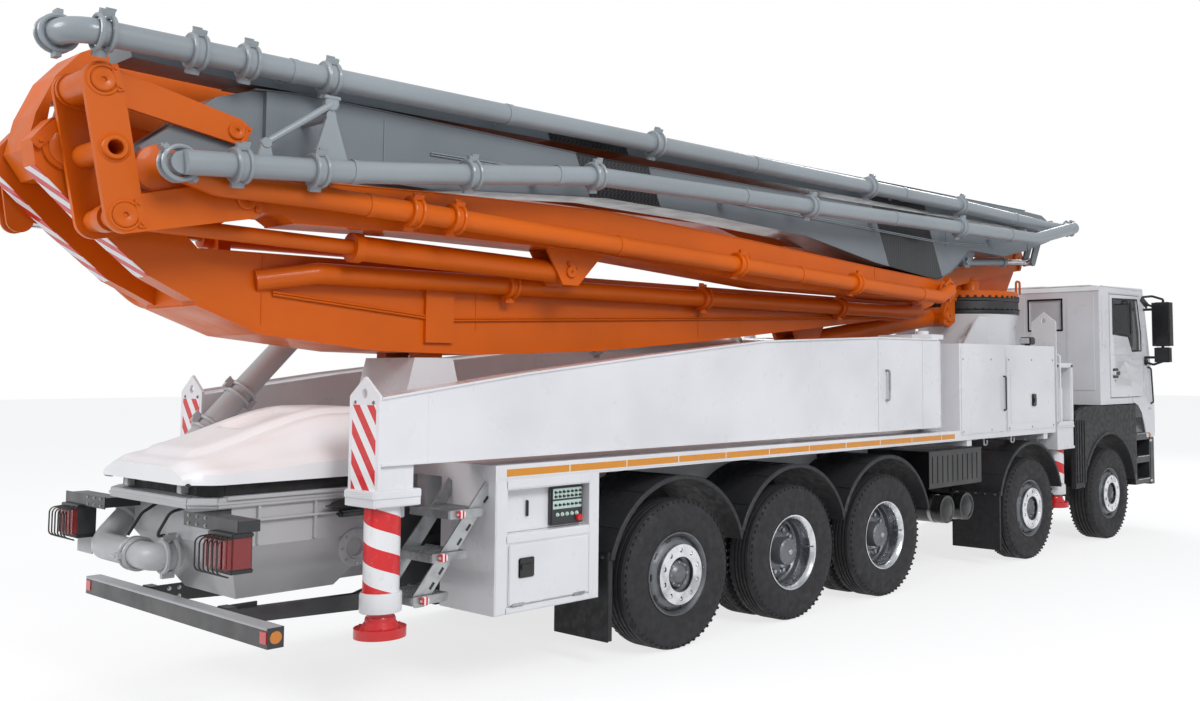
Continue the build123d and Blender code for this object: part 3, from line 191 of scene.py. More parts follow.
# ------------------------------------------------------------------ finishes
def linear(red, green, blue):
    """Colour from its eight-bit screen values."""
    return tuple((v / 255 / 12.92) if v / 255 <= 0.04045 else ((v / 255 + 0.055) / 1.055) ** 2.4
                 for v in (red, green, blue)) + (1,)


def shaded(colour, share, lift=0.0):
    return tuple(v * share + lift for v in colour[:3]) + (1,)


class Finish:
    """A material in the making, with short calls for the nodes it needs."""

    def __init__(self, name, **settings):
        self.material = bpy.data.materials.new(name)
        self.material.use_nodes = True
        self.tree = self.material.node_tree
        self.shader = self.tree.nodes["Principled BSDF"]
        self.place = self.tree.nodes.new("ShaderNodeTexCoord").outputs["Object"]
        for socket, value in settings.items():
            self.shader.inputs[socket.replace("_", " ")].default_value = value

    def node(self, kind, inputs=(), **settings):
        return add_node(self.tree, "ShaderNode" + kind, inputs, **settings)

    def math(self, operation, *values):
        return self.node("Math", enumerate(values), operation=operation).outputs[0]

    def noise(self, scale, detail=4.0, roughness=0.55, place=None):
        inputs = {"Vector": place or self.place, "Scale": scale, "Detail": detail, "Roughness": roughness}
        return self.node("TexNoise", inputs).outputs["Fac"]

    def spread(self, value, low, high, to_low=0.0, to_high=1.0):
        inputs = {"Value": value, "From Min": low, "From Max": high, "To Min": to_low, "To Max": to_high}
        return self.node("MapRange", inputs, interpolation_type="SMOOTHSTEP").outputs["Result"]

    def mix(self, factor, a, b):
        return self.node("Mix", {0: factor, 6: a, 7: b}, data_type="RGBA").outputs[2]

    def axes(self):
        parts = self.node("SeparateXYZ", {0: self.place}).outputs
        return parts[0], parts[1], parts[2]

    def colour(self, value):
        if isinstance(value, bpy.types.NodeSocket):
            self.tree.links.new(value, self.shader.inputs["Base Color"])
        else:
            self.shader.inputs["Base Color"].default_value = value

    def rough(self, value):
        self.tree.links.new(value, self.shader.inputs["Roughness"])

    def uneven(self, scale, detail, low, high):
        """Roughness that wanders between two values."""
        self.rough(self.spread(self.noise(scale, detail), 0.3, 0.7, low, high))

    def bump(self, height, strength, distance):
        node = self.node("Bump", {"Height": height, "Strength": strength, "Distance": distance})
        self.tree.links.new(node.outputs[0], self.shader.inputs["Normal"])


def road_dust(finish, base, dust, reach=1.1, amount=0.5):
    """Paint colour that gathers a little dust in clouds, more of it low down."""
    low = finish.spread(finish.axes()[2], 0.2, reach, 1.0, 0.12)
    clouds = finish.spread(finish.noise(2.6, 6), 0.4, 0.75)
    return finish.mix(finish.math("MULTIPLY", finish.math("MULTIPLY", low, clouds), amount), base, dust)


def paint(name, colour, rough=0.3, coat=0.5, dust_amount=0.3, peel=0.06):
    """Sprayed paint: soft shade changes, light dust, orange-peel skin and a clear coat."""
    finish = Finish(name, Coat_Weight=coat, Coat_Roughness=0.08)
    darker = shaded(colour, 0.86)
    dust = tuple(v * 0.6 + d * 0.4 for v, d in zip(colour[:3], (0.32, 0.29, 0.25))) + (1,)
    shade = finish.mix(finish.spread(finish.noise(0.8, 3), 0.35, 0.7), colour, darker)
    finish.colour(road_dust(finish, shade, dust, amount=dust_amount))
    finish.rough(finish.spread(finish.noise(5, 5), 0.3, 0.75, rough - 0.06, rough + 0.1))
    finish.bump(finish.noise(90, 2), peel, 0.002)
    return finish


def cast_metal(name, colour, rough, metallic=1.0, grain=260, depth=0.1):
    """Bare or plated metal with fine grain and blotches."""
    finish = Finish(name, Metallic=metallic)
    worn = shaded(colour, 0.62)
    finish.colour(finish.mix(finish.spread(finish.noise(7, 6), 0.4, 0.72), colour, worn))
    finish.uneven(14, 5, rough - 0.08, rough + 0.14)
    finish.bump(finish.noise(grain, 3), depth, 0.001)
    return finish


def rubber(name, colour, rough=0.72):
    """Matt rubber with a fine skin and pale scuffs."""
    finish = Finish(name)
    scuff = shaded(colour, 2.1, 0.012)
    finish.colour(finish.mix(finish.spread(finish.noise(9, 7, 0.65), 0.52, 0.8, 0, 0.55), colour, scuff))
    finish.uneven(20, 4, rough - 0.1, rough + 0.12)
    finish.bump(finish.noise(420, 2), 0.25, 0.0015)
    return finish


orange_colour = linear(220, 100, 2)
white_colour = linear(232, 232, 235)
red_colour = linear(214, 24, 30)
stripe_white = linear(236, 236, 238)
boom_colour = linear(122, 130, 136)

orange_skin = paint("orange_paint", orange_colour, 0.42, 0.12, 0.08)
orange_skin.shader.inputs["Specular IOR Level"].default_value = 0.28
orange = orange_skin.material
white = paint("white_paint", white_colour, 0.32, 0.4, 0.07).material
gloss_white = paint("hood_lacquer", linear(238, 238, 240), 0.34, 0.25, 0.02, 0.01).material
pipe_grey = paint("pipe_paint", linear(150, 158, 163), 0.36, 0.3, 0.15).material
hopper_grey = paint("hopper_paint", linear(182, 182, 184), 0.42, 0.2, 0.3, 0.1).material
charcoal = paint("chassis_paint", linear(44, 45, 48), 0.42, 0.2, 0.5, 0.1).material
black_paint = paint("black_paint", linear(22, 22, 24), 0.35, 0.3, 0.3).material
red_paint = paint("red_paint", red_colour, 0.35, 0.4, 0.2).material
moulded = rubber("moulded_plastic", linear(40, 40, 43), 0.55).material
flap_rubber = rubber("flap_rubber", linear(30, 30, 32), 0.68).material
tyre_rubber = rubber("tyre_rubber", linear(44, 43, 45), 0.74).material
steel = cast_metal("machined_steel", linear(176, 178, 182), 0.34).material
bright_rim = cast_metal("polished_rim", linear(226, 227, 230), 0.2, depth=0.04).material
rim_paint = cast_metal("rim_paint", linear(120, 122, 126), 0.42, 0.6).material
chrome = cast_metal("hard_chrome", linear(225, 227, 230), 0.09, depth=0.02).material
aluminium = cast_metal("ribbed_aluminium", linear(186, 188, 190), 0.4, depth=0.16).material
cast_iron = cast_metal("cast_iron", linear(70, 70, 72), 0.6, 0.5, 160, 0.25).material


def woven_with_painted_sheen(finish, painted_sheen_colour):
    """Dark carbon cloth: two bundles of fibre that pass over and under each other, and a painted sheen that
    makes the bundles on top lighter, most of all along their middle.
    """
    x, y, z = finish.axes()
    across = finish.math("FRACT", finish.math("MULTIPLY", x, 26.0))
    up = finish.math("FRACT", finish.math("MULTIPLY", z, 26.0))
    over = finish.math("GREATER_THAN", finish.math("ABSOLUTE", finish.math("SUBTRACT", across, up)), 0.5)
    ridge = finish.math("ABSOLUTE", finish.math("SUBTRACT", up, 0.5))
    # painted sheen: each bundle on top is lightest along its middle and darker towards its edges
    sheen = finish.spread(ridge, 0.0, 0.5, 1.0, 0.15)
    return finish.mix(finish.math("MULTIPLY", over, sheen), linear(26, 27, 29), painted_sheen_colour)


def carbon_boom(name, bands):
    """Grey boom paint with slanted bands of bare carbon cloth, each from one edge to the other; the cloth
    carries a painted sheen on its upper bundles.
    """
    finish = paint(name, boom_colour, 0.34, 0.35, 0.12)
    x, y, z = finish.axes()
    painted = finish.shader.inputs["Base Color"].links[0].from_socket
    # colour of the bare cloth, with the painted sheen on its upper bundles
    cloth_and_painted_sheen = woven_with_painted_sheen(finish, linear(92, 95, 98))
    mask = None
    for rear, front, lean, level in bands:
        shifted = finish.math("ADD", x, finish.math("MULTIPLY", finish.math("SUBTRACT", z, level), lean))
        inside = finish.math("MULTIPLY", finish.math("GREATER_THAN", shifted, rear),
                             finish.math("LESS_THAN", shifted, front))
        mask = inside if mask is None else finish.math("MAXIMUM", mask, inside)
    finish.colour(finish.mix(mask, painted, cloth_and_painted_sheen))
    return finish.material


def two_colours(finish, run, first, second, worn_share, smooth, coarse):
    """Bands of two colours, which change as the run goes on, worn a little and gritty."""
    step = finish.math("GREATER_THAN", finish.math("FRACT", run), 0.5)
    worn = finish.spread(finish.noise(30, 5), 0.55, 0.8, 0, worn_share)
    finish.colour(finish.mix(worn, finish.mix(step, first, second), linear(170, 165, 160)))
    finish.uneven(12, 4, smooth, coarse)
    finish.bump(finish.noise(120, 2), 0.05, 0.001)
    return finish.material


def stripes(name, first, second, pitch, along):
    """Two-colour warning stripes; along gives how far each axis carries the pattern."""
    finish = Finish(name, Coat_Weight=0.3)
    x, y, z = finish.axes()
    total = finish.math("MULTIPLY", x, along[0])
    total = finish.math("MULTIPLY_ADD", y, along[1], total)
    total = finish.math("MULTIPLY_ADD", z, along[2], total)
    return two_colours(finish, finish.math("DIVIDE", total, pitch), first, second, 0.25, 0.35, 0.52)


def spiral(name, centre, pitch):
    """Red and white stripes that wind up a leg about its own upright axis."""
    finish = Finish(name, Coat_Weight=0.3)
    x, y, z = finish.axes()
    turn = finish.math("ARCTAN2", finish.math("SUBTRACT", y, centre[1]),
        finish.math("SUBTRACT", x, centre[0]))
    climb = finish.math("MULTIPLY_ADD", turn, 1 / math.tau, finish.math("DIVIDE", z, pitch))
    return two_colours(finish, climb, stripe_white, red_colour, 0.22, 0.32, 0.48)


def lens(name, colour, rough=0.12):
    """Lamp lens with a fine prism grid moulded into it; the grid's hollows are coloured darker as painted
    shade.
    """
    finish = Finish(name, Coat_Weight=0.6, Coat_Roughness=0.04)
    x, y, z = finish.axes()
    grid = finish.math("MULTIPLY", finish.math("SINE",
        finish.math("MULTIPLY", finish.math("ADD", x, y), 500.0)),
        finish.math("SINE", finish.math("MULTIPLY", z, 500.0)))
    # painted shade: a darker copy of the lens colour for the low parts of the grid
    darker = shaded(colour, 0.45)
    finish.colour(finish.mix(finish.spread(grid, -0.6, 0.8), darker, colour))
    finish.uneven(40, 3, rough, rough + 0.15)
    finish.bump(grid, 0.3, 0.001)
    return finish.material


def window_glass(name, tint, alpha):
    """Tinted glass that shows the cab through it."""
    finish = Finish(name, Alpha=alpha, Coat_Weight=0.5, IOR=1.5)
    finish.colour(finish.mix(finish.spread(finish.noise(3, 3), 0.3, 0.7), tint, shaded(tint, 0.8)))
    finish.rough(finish.spread(finish.noise(6, 4), 0.4, 0.8, 0.02, 0.07))
    return finish.material


boom_4_finish = carbon_boom("boom_paint_4", [(rear_axle_x - 0.56, rear_axle_x + 0.16, 0.45, 3.42),
                                             (rear_axle_x + 3.2, rear_axle_x + 4.14, 0.5, 3.25)])
boom_5_finish = carbon_boom("boom_paint_5", [(rear_axle_x - 0.85, rear_axle_x - 0.1, 0.45, 3.66),
                                             (rear_axle_x + 3.05, rear_axle_x + 4.0, 0.45, 3.68)])
red_lens = lens("red_lens", linear(150, 14, 18))
red_reflector = lens("red_reflector", linear(235, 18, 22))
amber_lens = lens("amber_lens", linear(240, 140, 20))
clear_lens = lens("clear_lens", linear(235, 238, 240))
orange_tape = lens("reflective_tape", linear(255, 164, 0), 0.3)
glass = window_glass("cab_glass", linear(48, 50, 54), 0.55)
screen_white = paint("panel_screen", linear(200, 222, 214), 0.25, 0.2, 0.02).material
seat_cloth = rubber("seat_cloth", linear(56, 57, 62), 0.85).material

cad_finishes = {"axle_beams": charcoal, "chassis_frame": charcoal, "engine_block": cast_iron,
    "side_tanks": black_paint, "superstructure": white, "front_boxes": white, "rear_cabinets": white,
    "access_steps": aluminium, "mudguards": moulded, "hopper": hopper_grey, "delivery_line": hopper_grey,
    "rear_guard": charcoal, "cab_shell": white, "cab_glass": glass, "cab_interior": seat_cloth,
    "cab_bumper": charcoal, "mirrors": moulded, "turret": orange, "lift_cylinder": orange,
    "lift_rod": chrome, "boom_section_1": orange, "boom_section_2": orange, "boom_section_3": orange,
    "boom_section_4": boom_4_finish, "boom_pipe_4": pipe_grey, "boom_section_5": boom_5_finish,
    "boom_pipe_5": pipe_grey, "knuckle_lever": orange, "knuckle_link": orange, "hopper_lid": gloss_white,}
for number in (2, 3, 4, 5):
    cad_finishes[f"knuckle_rod_{number}"] = chrome
for side in both_sides():
    for number in (1, 2, 5):
        cad_finishes[f"knuckle_{number}_{side}"] = cast_iron
    cad_finishes[f"rear_outrigger_{side}"] = white
    cad_finishes[f"front_outrigger_{side}"] = white
    cad_finishes[f"rear_jack_{side}"] = red_paint
    cad_finishes[f"front_jack_{side}"] = red_paint
cad_finishes["knuckle_rod_4"] = orange
for node, material in cad_finishes.items():
    slots = nodes[node].data.materials
    slots.clear()
    slots.append(material)


# ------------------------------------------------------------------ ways of making a piece
class Form:
    """One mesh in the making, laid out in millimetres as spot() reads them."""

    def __init__(self):
        self.mesh = bmesh.new()

    def keep(self, points, faces):
        corners = [self.mesh.verts.new(point) for point in points]
        return [self.mesh.faces.new([corners[i] for i in face]) for face in faces]

    def plate(self, outline, near, far, across="y", round_by=0.0):
        """Solid with an outline in the other two axes, from near to far along one axis."""
        def corner(a, b, depth):
            return spot(a, depth, b) if across == "y" else spot(depth, a, b) if across == "x" else spot(a,
                b, depth)
        count = len(outline)
        points = [corner(a, b, near) for a, b in outline] + [corner(a, b, far) for a, b in outline]
        faces = [tuple(range(count)), tuple(range(2 * count - 1, count - 1, -1))]
        faces += [((i + 1) % count, i, i + count, (i + 1) % count + count) for i in range(count)]
        made = self.keep(points, faces)
        if round_by:
            edges = list({edge for face in made for edge in face.edges})
            bmesh.ops.bevel(self.mesh, geom=edges, offset=round_by / 1000, segments=2, affect="EDGES",
                            clamp_overlap=True)
        return self

    def block(self, x0, x1, y0, y1, z0, z1, round_by=4.0):
        return self.plate([(x0, z0), (x1, z0), (x1, z1), (x0, z1)], y0, y1, "y", round_by)

    def ring(self, profile, centre, axis="y", steps=48, arc=None):
        """Turned shape: profile of (radius, depth) about an axis through a centre; a closed outline."""
        x, y, z = centre
        start, sweep = (0.0, math.tau) if arc is None else (math.radians(arc[0]),
            math.radians(arc[1] - arc[0]))
        rows = steps if arc is None else steps + 1
        points = []
        for step in range(rows):
            turn = start + sweep * step / steps
            c, s = math.cos(turn), math.sin(turn)
            for radius, depth in profile:
                offset = {"y": (radius * c, depth, radius * s), "z": (radius * c, radius * s, depth),
                          "x": (depth, radius * c, radius * s)}[axis]
                points.append(spot(x + offset[0], y + offset[1], z + offset[2]))
        count = len(profile)
        faces = []
        for step in range(steps):
            after = (step + 1) % rows
            for i in range(count):
                k = (i + 1) % count
                if profile[i][0] == 0 and profile[k][0] == 0:
                    continue
                faces.append((step * count + i, step * count + k, after * count + k, after * count + i))
        if arc is not None:
            faces += [tuple(range(count)), tuple(range(rows * count - 1, (rows - 1) * count - 1, -1))]
        self.keep(points, faces)
        return self

    def bar(self, start, end, radius, sides=20, tip=None):
        """Round bar between two places, or a cone where the tip's radius is given."""
        a, b = spot(*start), spot(*end)
        along = (b - a).normalized()
        side = along.orthogonal().normalized()
        other = along.cross(side)
        points = []
        for place, size in ((a, radius), (b, radius if tip is None else tip)):
            for i in range(sides):
                turn = math.tau * i / sides
                points.append(place + (side * math.cos(turn) + other * math.sin(turn)) * size / 1000)
        faces = [tuple(range(sides - 1, -1, -1)), tuple(range(sides, 2 * sides))]
        faces += [(i, (i + 1) % sides, (i + 1) % sides + sides, i + sides) for i in range(sides)]
        self.keep(points, faces)
        return self

    def strip(self, run, y0, y1, thick):
        """Thin sheet that follows a run of places in X and Z, between two values of Y."""
        for (xa, za), (xb, zb) in zip(run, run[1:]):
            length = math.hypot(xb - xa, zb - za)
            nx, nz = (zb - za) / length * thick, -(xb - xa) / length * thick
            self.plate([(xa, za), (xb, zb), (xb + nx, zb + nz), (xa + nx, za + nz)], y0, y1)
        return self

    def done(self, name, body, material, smooth=35, bevel=0.0, subdivide=0):
        bmesh.ops.remove_doubles(self.mesh, verts=self.mesh.verts, dist=1e-6)
        bmesh.ops.dissolve_degenerate(self.mesh, dist=1e-7, edges=self.mesh.edges)
        bmesh.ops.recalc_face_normals(self.mesh, faces=self.mesh.faces)
        data = bpy.data.meshes.new(name)
        self.mesh.to_mesh(data)
        self.mesh.free()
        return finished(name, data, body, material, smooth, bevel, subdivide)


def finished(name, data, body, material, smooth=35, bevel=0.0, subdivide=0):
    """Object of a mesh already in place, shaded, finished and riding on its body."""
    piece = linked(name, data)
    data.materials.clear()
    data.materials.append(material)
    if smooth:
        data.shade_smooth()
        data.set_sharp_from_angle(angle=math.radians(smooth))
    if bevel:
        edge = piece.modifiers.new("edges", "BEVEL")
        edge.width, edge.segments, edge.limit_method = bevel / 1000, 2, "ANGLE"
    if subdivide:
        skin = piece.modifiers.new("skin", "SUBSURF")
        skin.levels = skin.render_levels = subdivide
    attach(piece, body)
    return piece


def blocks(name, body, material, *rows, **look):
    """Piece of rounded boxes; each row is x0, x1, y0, y1, z0, z1 and the rounding of its edges."""
    form = Form()
    for row in rows:
        form.block(*row)
    return form.done(name, body, material, **look)


# ------------------------------------------------------------------ trees for what repeats
class Tree:
    """A geometry node tree with named inputs, built call by call."""

    def __init__(self, name, inputs):
        self.tree = bpy.data.node_groups.new(name, "GeometryNodeTree")
        self.tree.interface.new_socket(name="Geometry", in_out="INPUT", socket_type="NodeSocketGeometry")
        self.idents = {}
        for label, kind, value in inputs:
            socket = self.tree.interface.new_socket(name=label, in_out="INPUT", socket_type="NodeSocket"
                + kind)
            if value is not None:
                socket.default_value = value
            self.idents[label] = socket.identifier
        self.tree.interface.new_socket(name="Geometry", in_out="OUTPUT", socket_type="NodeSocketGeometry")
        self.given = self.tree.nodes.new("NodeGroupInput").outputs

    def node(self, kind, inputs=(), **settings):
        return add_node(self.tree, kind, inputs, **settings)

    def attribute(self, name):
        return self.node("GeometryNodeInputNamedAttribute", {"Name": name},
            data_type="FLOAT_VECTOR").outputs[0]

    def bar(self, *sizes):
        """Plain bar of the three given sizes."""
        size = self.node("ShaderNodeCombineXYZ", enumerate(sizes)).outputs[0]
        return self.node("GeometryNodeMeshCube", {"Size": size}).outputs[0]

    def turned(self, along_z, along_x):
        """Rotation that lays an item's Z and X along two directions."""
        return self.node("FunctionNodeAxesToRotation", {"Primary Axis": along_z, "Secondary Axis": along_x},
                         primary_axis="Z", secondary_axis="X").outputs[0]

    def value(self, operation, a, b):
        return self.node("ShaderNodeMath", {0: a, 1: b}, operation=operation).outputs[0]

    def moved(self, geometry, x=0.0, y=0.0, z=0.0):
        offset = self.node("ShaderNodeCombineXYZ", {0: x, 1: y, 2: z}).outputs[0]
        return self.node("GeometryNodeTransform", {"Geometry": geometry, "Translation": offset}).outputs[0]

    def joined(self, *shapes):
        node = self.node("GeometryNodeJoinGeometry")
        for shape in shapes:
            self.tree.links.new(shape, node.inputs[0])
        return node.outputs[0]

    def facing(self):
        """Rotation that points an item's Z along each place's own direction."""
        way = self.attribute("facing")
        return self.node("FunctionNodeAlignRotationToVector", {"Vector": way}, axis="Z").outputs[0]

    def end(self, points, item, rotation):
        placed = self.node("GeometryNodeInstanceOnPoints",
            {"Points": points, "Instance": item, "Rotation": rotation})
        real = self.node("GeometryNodeRealizeInstances", {"Geometry": placed.outputs[0]}).outputs[0]
        self.output(real)

    def output(self, geometry):
        real = self.node("GeometryNodeRealizeInstances", {"Geometry": geometry}).outputs[0]
        last = self.node("GeometryNodeSetMaterial", {"Geometry": real, "Material": self.given["Material"]})
        out = self.tree.nodes.new("NodeGroupOutput")
        self.tree.links.new(last.outputs[0], out.inputs[0])


def stud_tree():
    """Hexagon bolt heads on washers, one on each place."""
    tree = Tree("bolt_heads", [("Radius", "Float", 0.02), ("Height", "Float", 0.015), ("Sides", "Int", 6),
                               ("Material", "Material", None)])
    radius, height = tree.given["Radius"], tree.given["Height"]
    head = tree.node("GeometryNodeMeshCylinder", {"Vertices": tree.given["Sides"], "Radius": radius,
        "Depth": height})
    washer = tree.node("GeometryNodeMeshCylinder", {"Vertices": 14,
        "Radius": tree.value("MULTIPLY", radius, 1.45), "Depth": tree.value("MULTIPLY", height, 0.3)})
    raised = tree.moved(head.outputs[0], z=tree.value("MULTIPLY", height, 0.75))
    low = tree.moved(washer.outputs[0], z=tree.value("MULTIPLY", height, 0.15))
    tree.end(tree.given["Geometry"], tree.joined(raised, low), tree.facing())
    return tree


def clamp_tree():
    """Pipe clamp: two shell rings, a groove between them and a toggle lever above."""
    tree = Tree("pipe_clamps", [("Radius", "Float", 0.09), ("Width", "Float", 0.03),
        ("Material", "Material", None)])
    radius, width = tree.given["Radius"], tree.given["Width"]
    rings = []
    for way in (-0.9, 0.9):
        line = tree.node("GeometryNodeCurvePrimitiveCircle", {"Resolution": 28, "Radius": radius})
        section = tree.node("GeometryNodeCurvePrimitiveCircle",
            {"Resolution": 8, "Radius": tree.value("MULTIPLY", width, 0.42)})
        ring = tree.node("GeometryNodeCurveToMesh", {"Curve": line.outputs[0],
            "Profile Curve": section.outputs[0]})
        rings.append(tree.moved(ring.outputs[0], z=tree.value("MULTIPLY", width, way)))

    def share(part):
        return tree.value("MULTIPLY", width, part)

    lug = tree.bar(share(1.1), share(0.9), share(2.1))
    lever = tree.bar(share(0.35), share(0.4), share(1.5))
    reach = tree.value("ADD", radius, share(0.55))
    far = tree.value("ADD", radius, share(1.2))
    parts = rings + [tree.moved(lug, x=reach), tree.moved(lug, x=tree.value("MULTIPLY", reach, -1.0)),
                     tree.moved(lever, x=far, z=share(0.5))]
    turn = tree.turned(tree.attribute("facing"), tree.attribute("upward"))
    tree.end(tree.given["Geometry"], tree.joined(*parts), turn)
    return tree


def wire_tree():
    """Round wire or rail along the edges of a wire mesh, with its corners rounded."""
    tree = Tree("bent_wires", [("Radius", "Float", 0.006), ("Bend", "Float", 0.02),
        ("Material", "Material", None)])
    curve = tree.node("GeometryNodeMeshToCurve", {0: tree.given["Geometry"]}).outputs[0]
    soft = tree.node("GeometryNodeFilletCurve", {"Curve": curve, "Count": 5, "Radius": tree.given["Bend"],
                                                 "Limit Radius": True}, mode="POLY").outputs[0]
    section = tree.node("GeometryNodeCurvePrimitiveCircle",
        {"Resolution": 10, "Radius": tree.given["Radius"]})
    wire = tree.node("GeometryNodeCurveToMesh", {"Curve": soft, "Profile Curve": section.outputs[0],
                                                 "Fill Caps": True}).outputs[0]
    tree.output(wire)
    return tree


def slat_tree():
    """Small bevel-free bars of one size, one on each place, turned along it."""
    tree = Tree("slats", [("Length", "Float", 0.1), ("Width", "Float", 0.02), ("Height", "Float", 0.01),
                          ("Material", "Material", None)])
    bar = tree.bar(tree.given["Length"], tree.given["Width"], tree.given["Height"])
    turn = tree.turned(tree.attribute("upward"), tree.attribute("facing"))
    tree.end(tree.given["Geometry"], bar, turn)
    return tree


studs, clamps, wires, slats = stud_tree(), clamp_tree(), wire_tree(), slat_tree()


def grown(name, body, material, tree, data, settings, smooth=35):
    """Run a tree over a mesh of places or lines and keep the plain mesh that it gives."""
    seed = linked(name + "_places", data)
    modifier = seed.modifiers.new("grow", "NODES")
    modifier.node_group = tree.tree
    for label, value in settings.items():
        modifier[tree.idents[label]] = value
    modifier[tree.idents["Material"]] = material
    mesh = baked(seed)
    mesh.name = name
    return finished(name, mesh, body, material, smooth)


def places(rows):
    """Mesh of places for a tree; each row is a place in millimetres, its direction and what is up."""
    data = bpy.data.meshes.new("places")
    data.from_pydata([spot(*row[0]) for row in rows], [], [])
    spare = UP
    for index, label in enumerate(("facing", "upward"), 1):
        attribute = data.attributes.new(label, "FLOAT_VECTOR", "POINT")
        for i, row in enumerate(rows):
            x, y, z = row[index] if len(row) > index else spare
            attribute.data[i].vector = Vector((x, Hand.way * y, z)).normalized()
    return data


def lines(runs):
    """Mesh of open lines for the wire tree, from runs of places in millimetres."""
    data = bpy.data.meshes.new("lines")
    points, edges = [], []
    for run in runs:
        first = len(points)
        points += [spot(*place) for place in run]
        edges += [(first + i, first + i + 1) for i in range(len(run) - 1)]
    data.from_pydata(points, edges, [])
    return data


def bolts(name, body, rows, radius=13, height=11, material=None):
    return grown(name, body, material or steel, studs, places(rows),
                 {"Radius": radius / 1000, "Height": height / 1000}, smooth=0)


def rails(name, body, runs, radius=12, bend=40, material=None):
    return grown(name, body, material or black_paint, wires, lines(runs),
                 {"Radius": radius / 1000, "Bend": bend / 1000})


def bars(name, body, rows, length, width, height, material):
    return grown(name, body, material, slats, places(rows),
                 {"Length": length / 1000, "Width": width / 1000, "Height": height / 1000}, smooth=0)


def circle(centre, radius, count, axis="y", outward=1, start=0.0):
    """Places around a circle with their direction along its axis."""
    rows = []
    for i in range(count):
        turn = start + math.tau * i / count
        a, b = radius * math.cos(turn), radius * math.sin(turn)
        offset = {"y": (a, 0, b), "z": (a, b, 0), "x": (0, a, b)}[axis]
        way = {"y": (0, outward, 0), "z": (0, 0, outward), "x": (outward, 0, 0)}[axis]
        rows.append(((centre[0] + offset[0], centre[1] + offset[1], centre[2] + offset[2]), way, (a, 0, b)))
    return rows


def islands(node):
    """The separate shells of a CAD node as meshes with their doubles merged, largest first."""
    whole = bmesh.new()
    whole.from_mesh(nodes[node].data)
    bmesh.ops.remove_doubles(whole, verts=whole.verts, dist=1e-5)
    whole.verts.ensure_lookup_table()
    seen, shells = set(), []
    for vert in whole.verts:
        if vert.index in seen:
            continue
        group, queue = [], [vert]
        seen.add(vert.index)
        while queue:
            here = queue.pop()
            group.append(here)
            for edge in here.link_edges:
                there = edge.other_vert(here)
                if there.index not in seen:
                    seen.add(there.index)
                    queue.append(there)
        shells.append({v.index for v in group})
    meshes = []
    for shell in sorted(shells, key=len, reverse=True):
        part = whole.copy()
        part.verts.ensure_lookup_table()
        bmesh.ops.delete(part, geom=[v for v in part.verts if v.index not in shell], context="VERTS")
        data = bpy.data.meshes.new(node + "_shell")
        part.to_mesh(data)
        part.free()
        meshes.append(data)
    whole.free()
    return meshes


# ------------------------------------------------------------------ wheels
TYRE, RIM, FACE_Y = 525, 290, 1235
AXLES = (7200, 5240, 2580, 1300, 0)


def tyre_section(start, width):
    """Closed outline of one tyre: bead, bulged wall, shoulder and grooved tread."""
    wall = [(RIM - 4, start + 30), (RIM + 12, start + 20), (330, start + 9), (380, start + 2), (430, start),
            (478, start + 7), (504, start + 16), (518, start + 28), (TYRE - 2, start + 44)]
    tread, groove = [], 13
    inner, outer = start + 46, start + width - 46
    for i in range(1, 5):
        middle = inner + (outer - inner) * i / 5
        tread += [(TYRE, middle - 8), (TYRE - groove, middle - 5), (TYRE - groove, middle + 5),
            (TYRE, middle + 8)]
    mirrored = [(radius, 2 * start + width - depth) for radius, depth in reversed(wall)]
    return wall + [(TYRE, inner)] + tread + [(TYRE, outer)] + mirrored


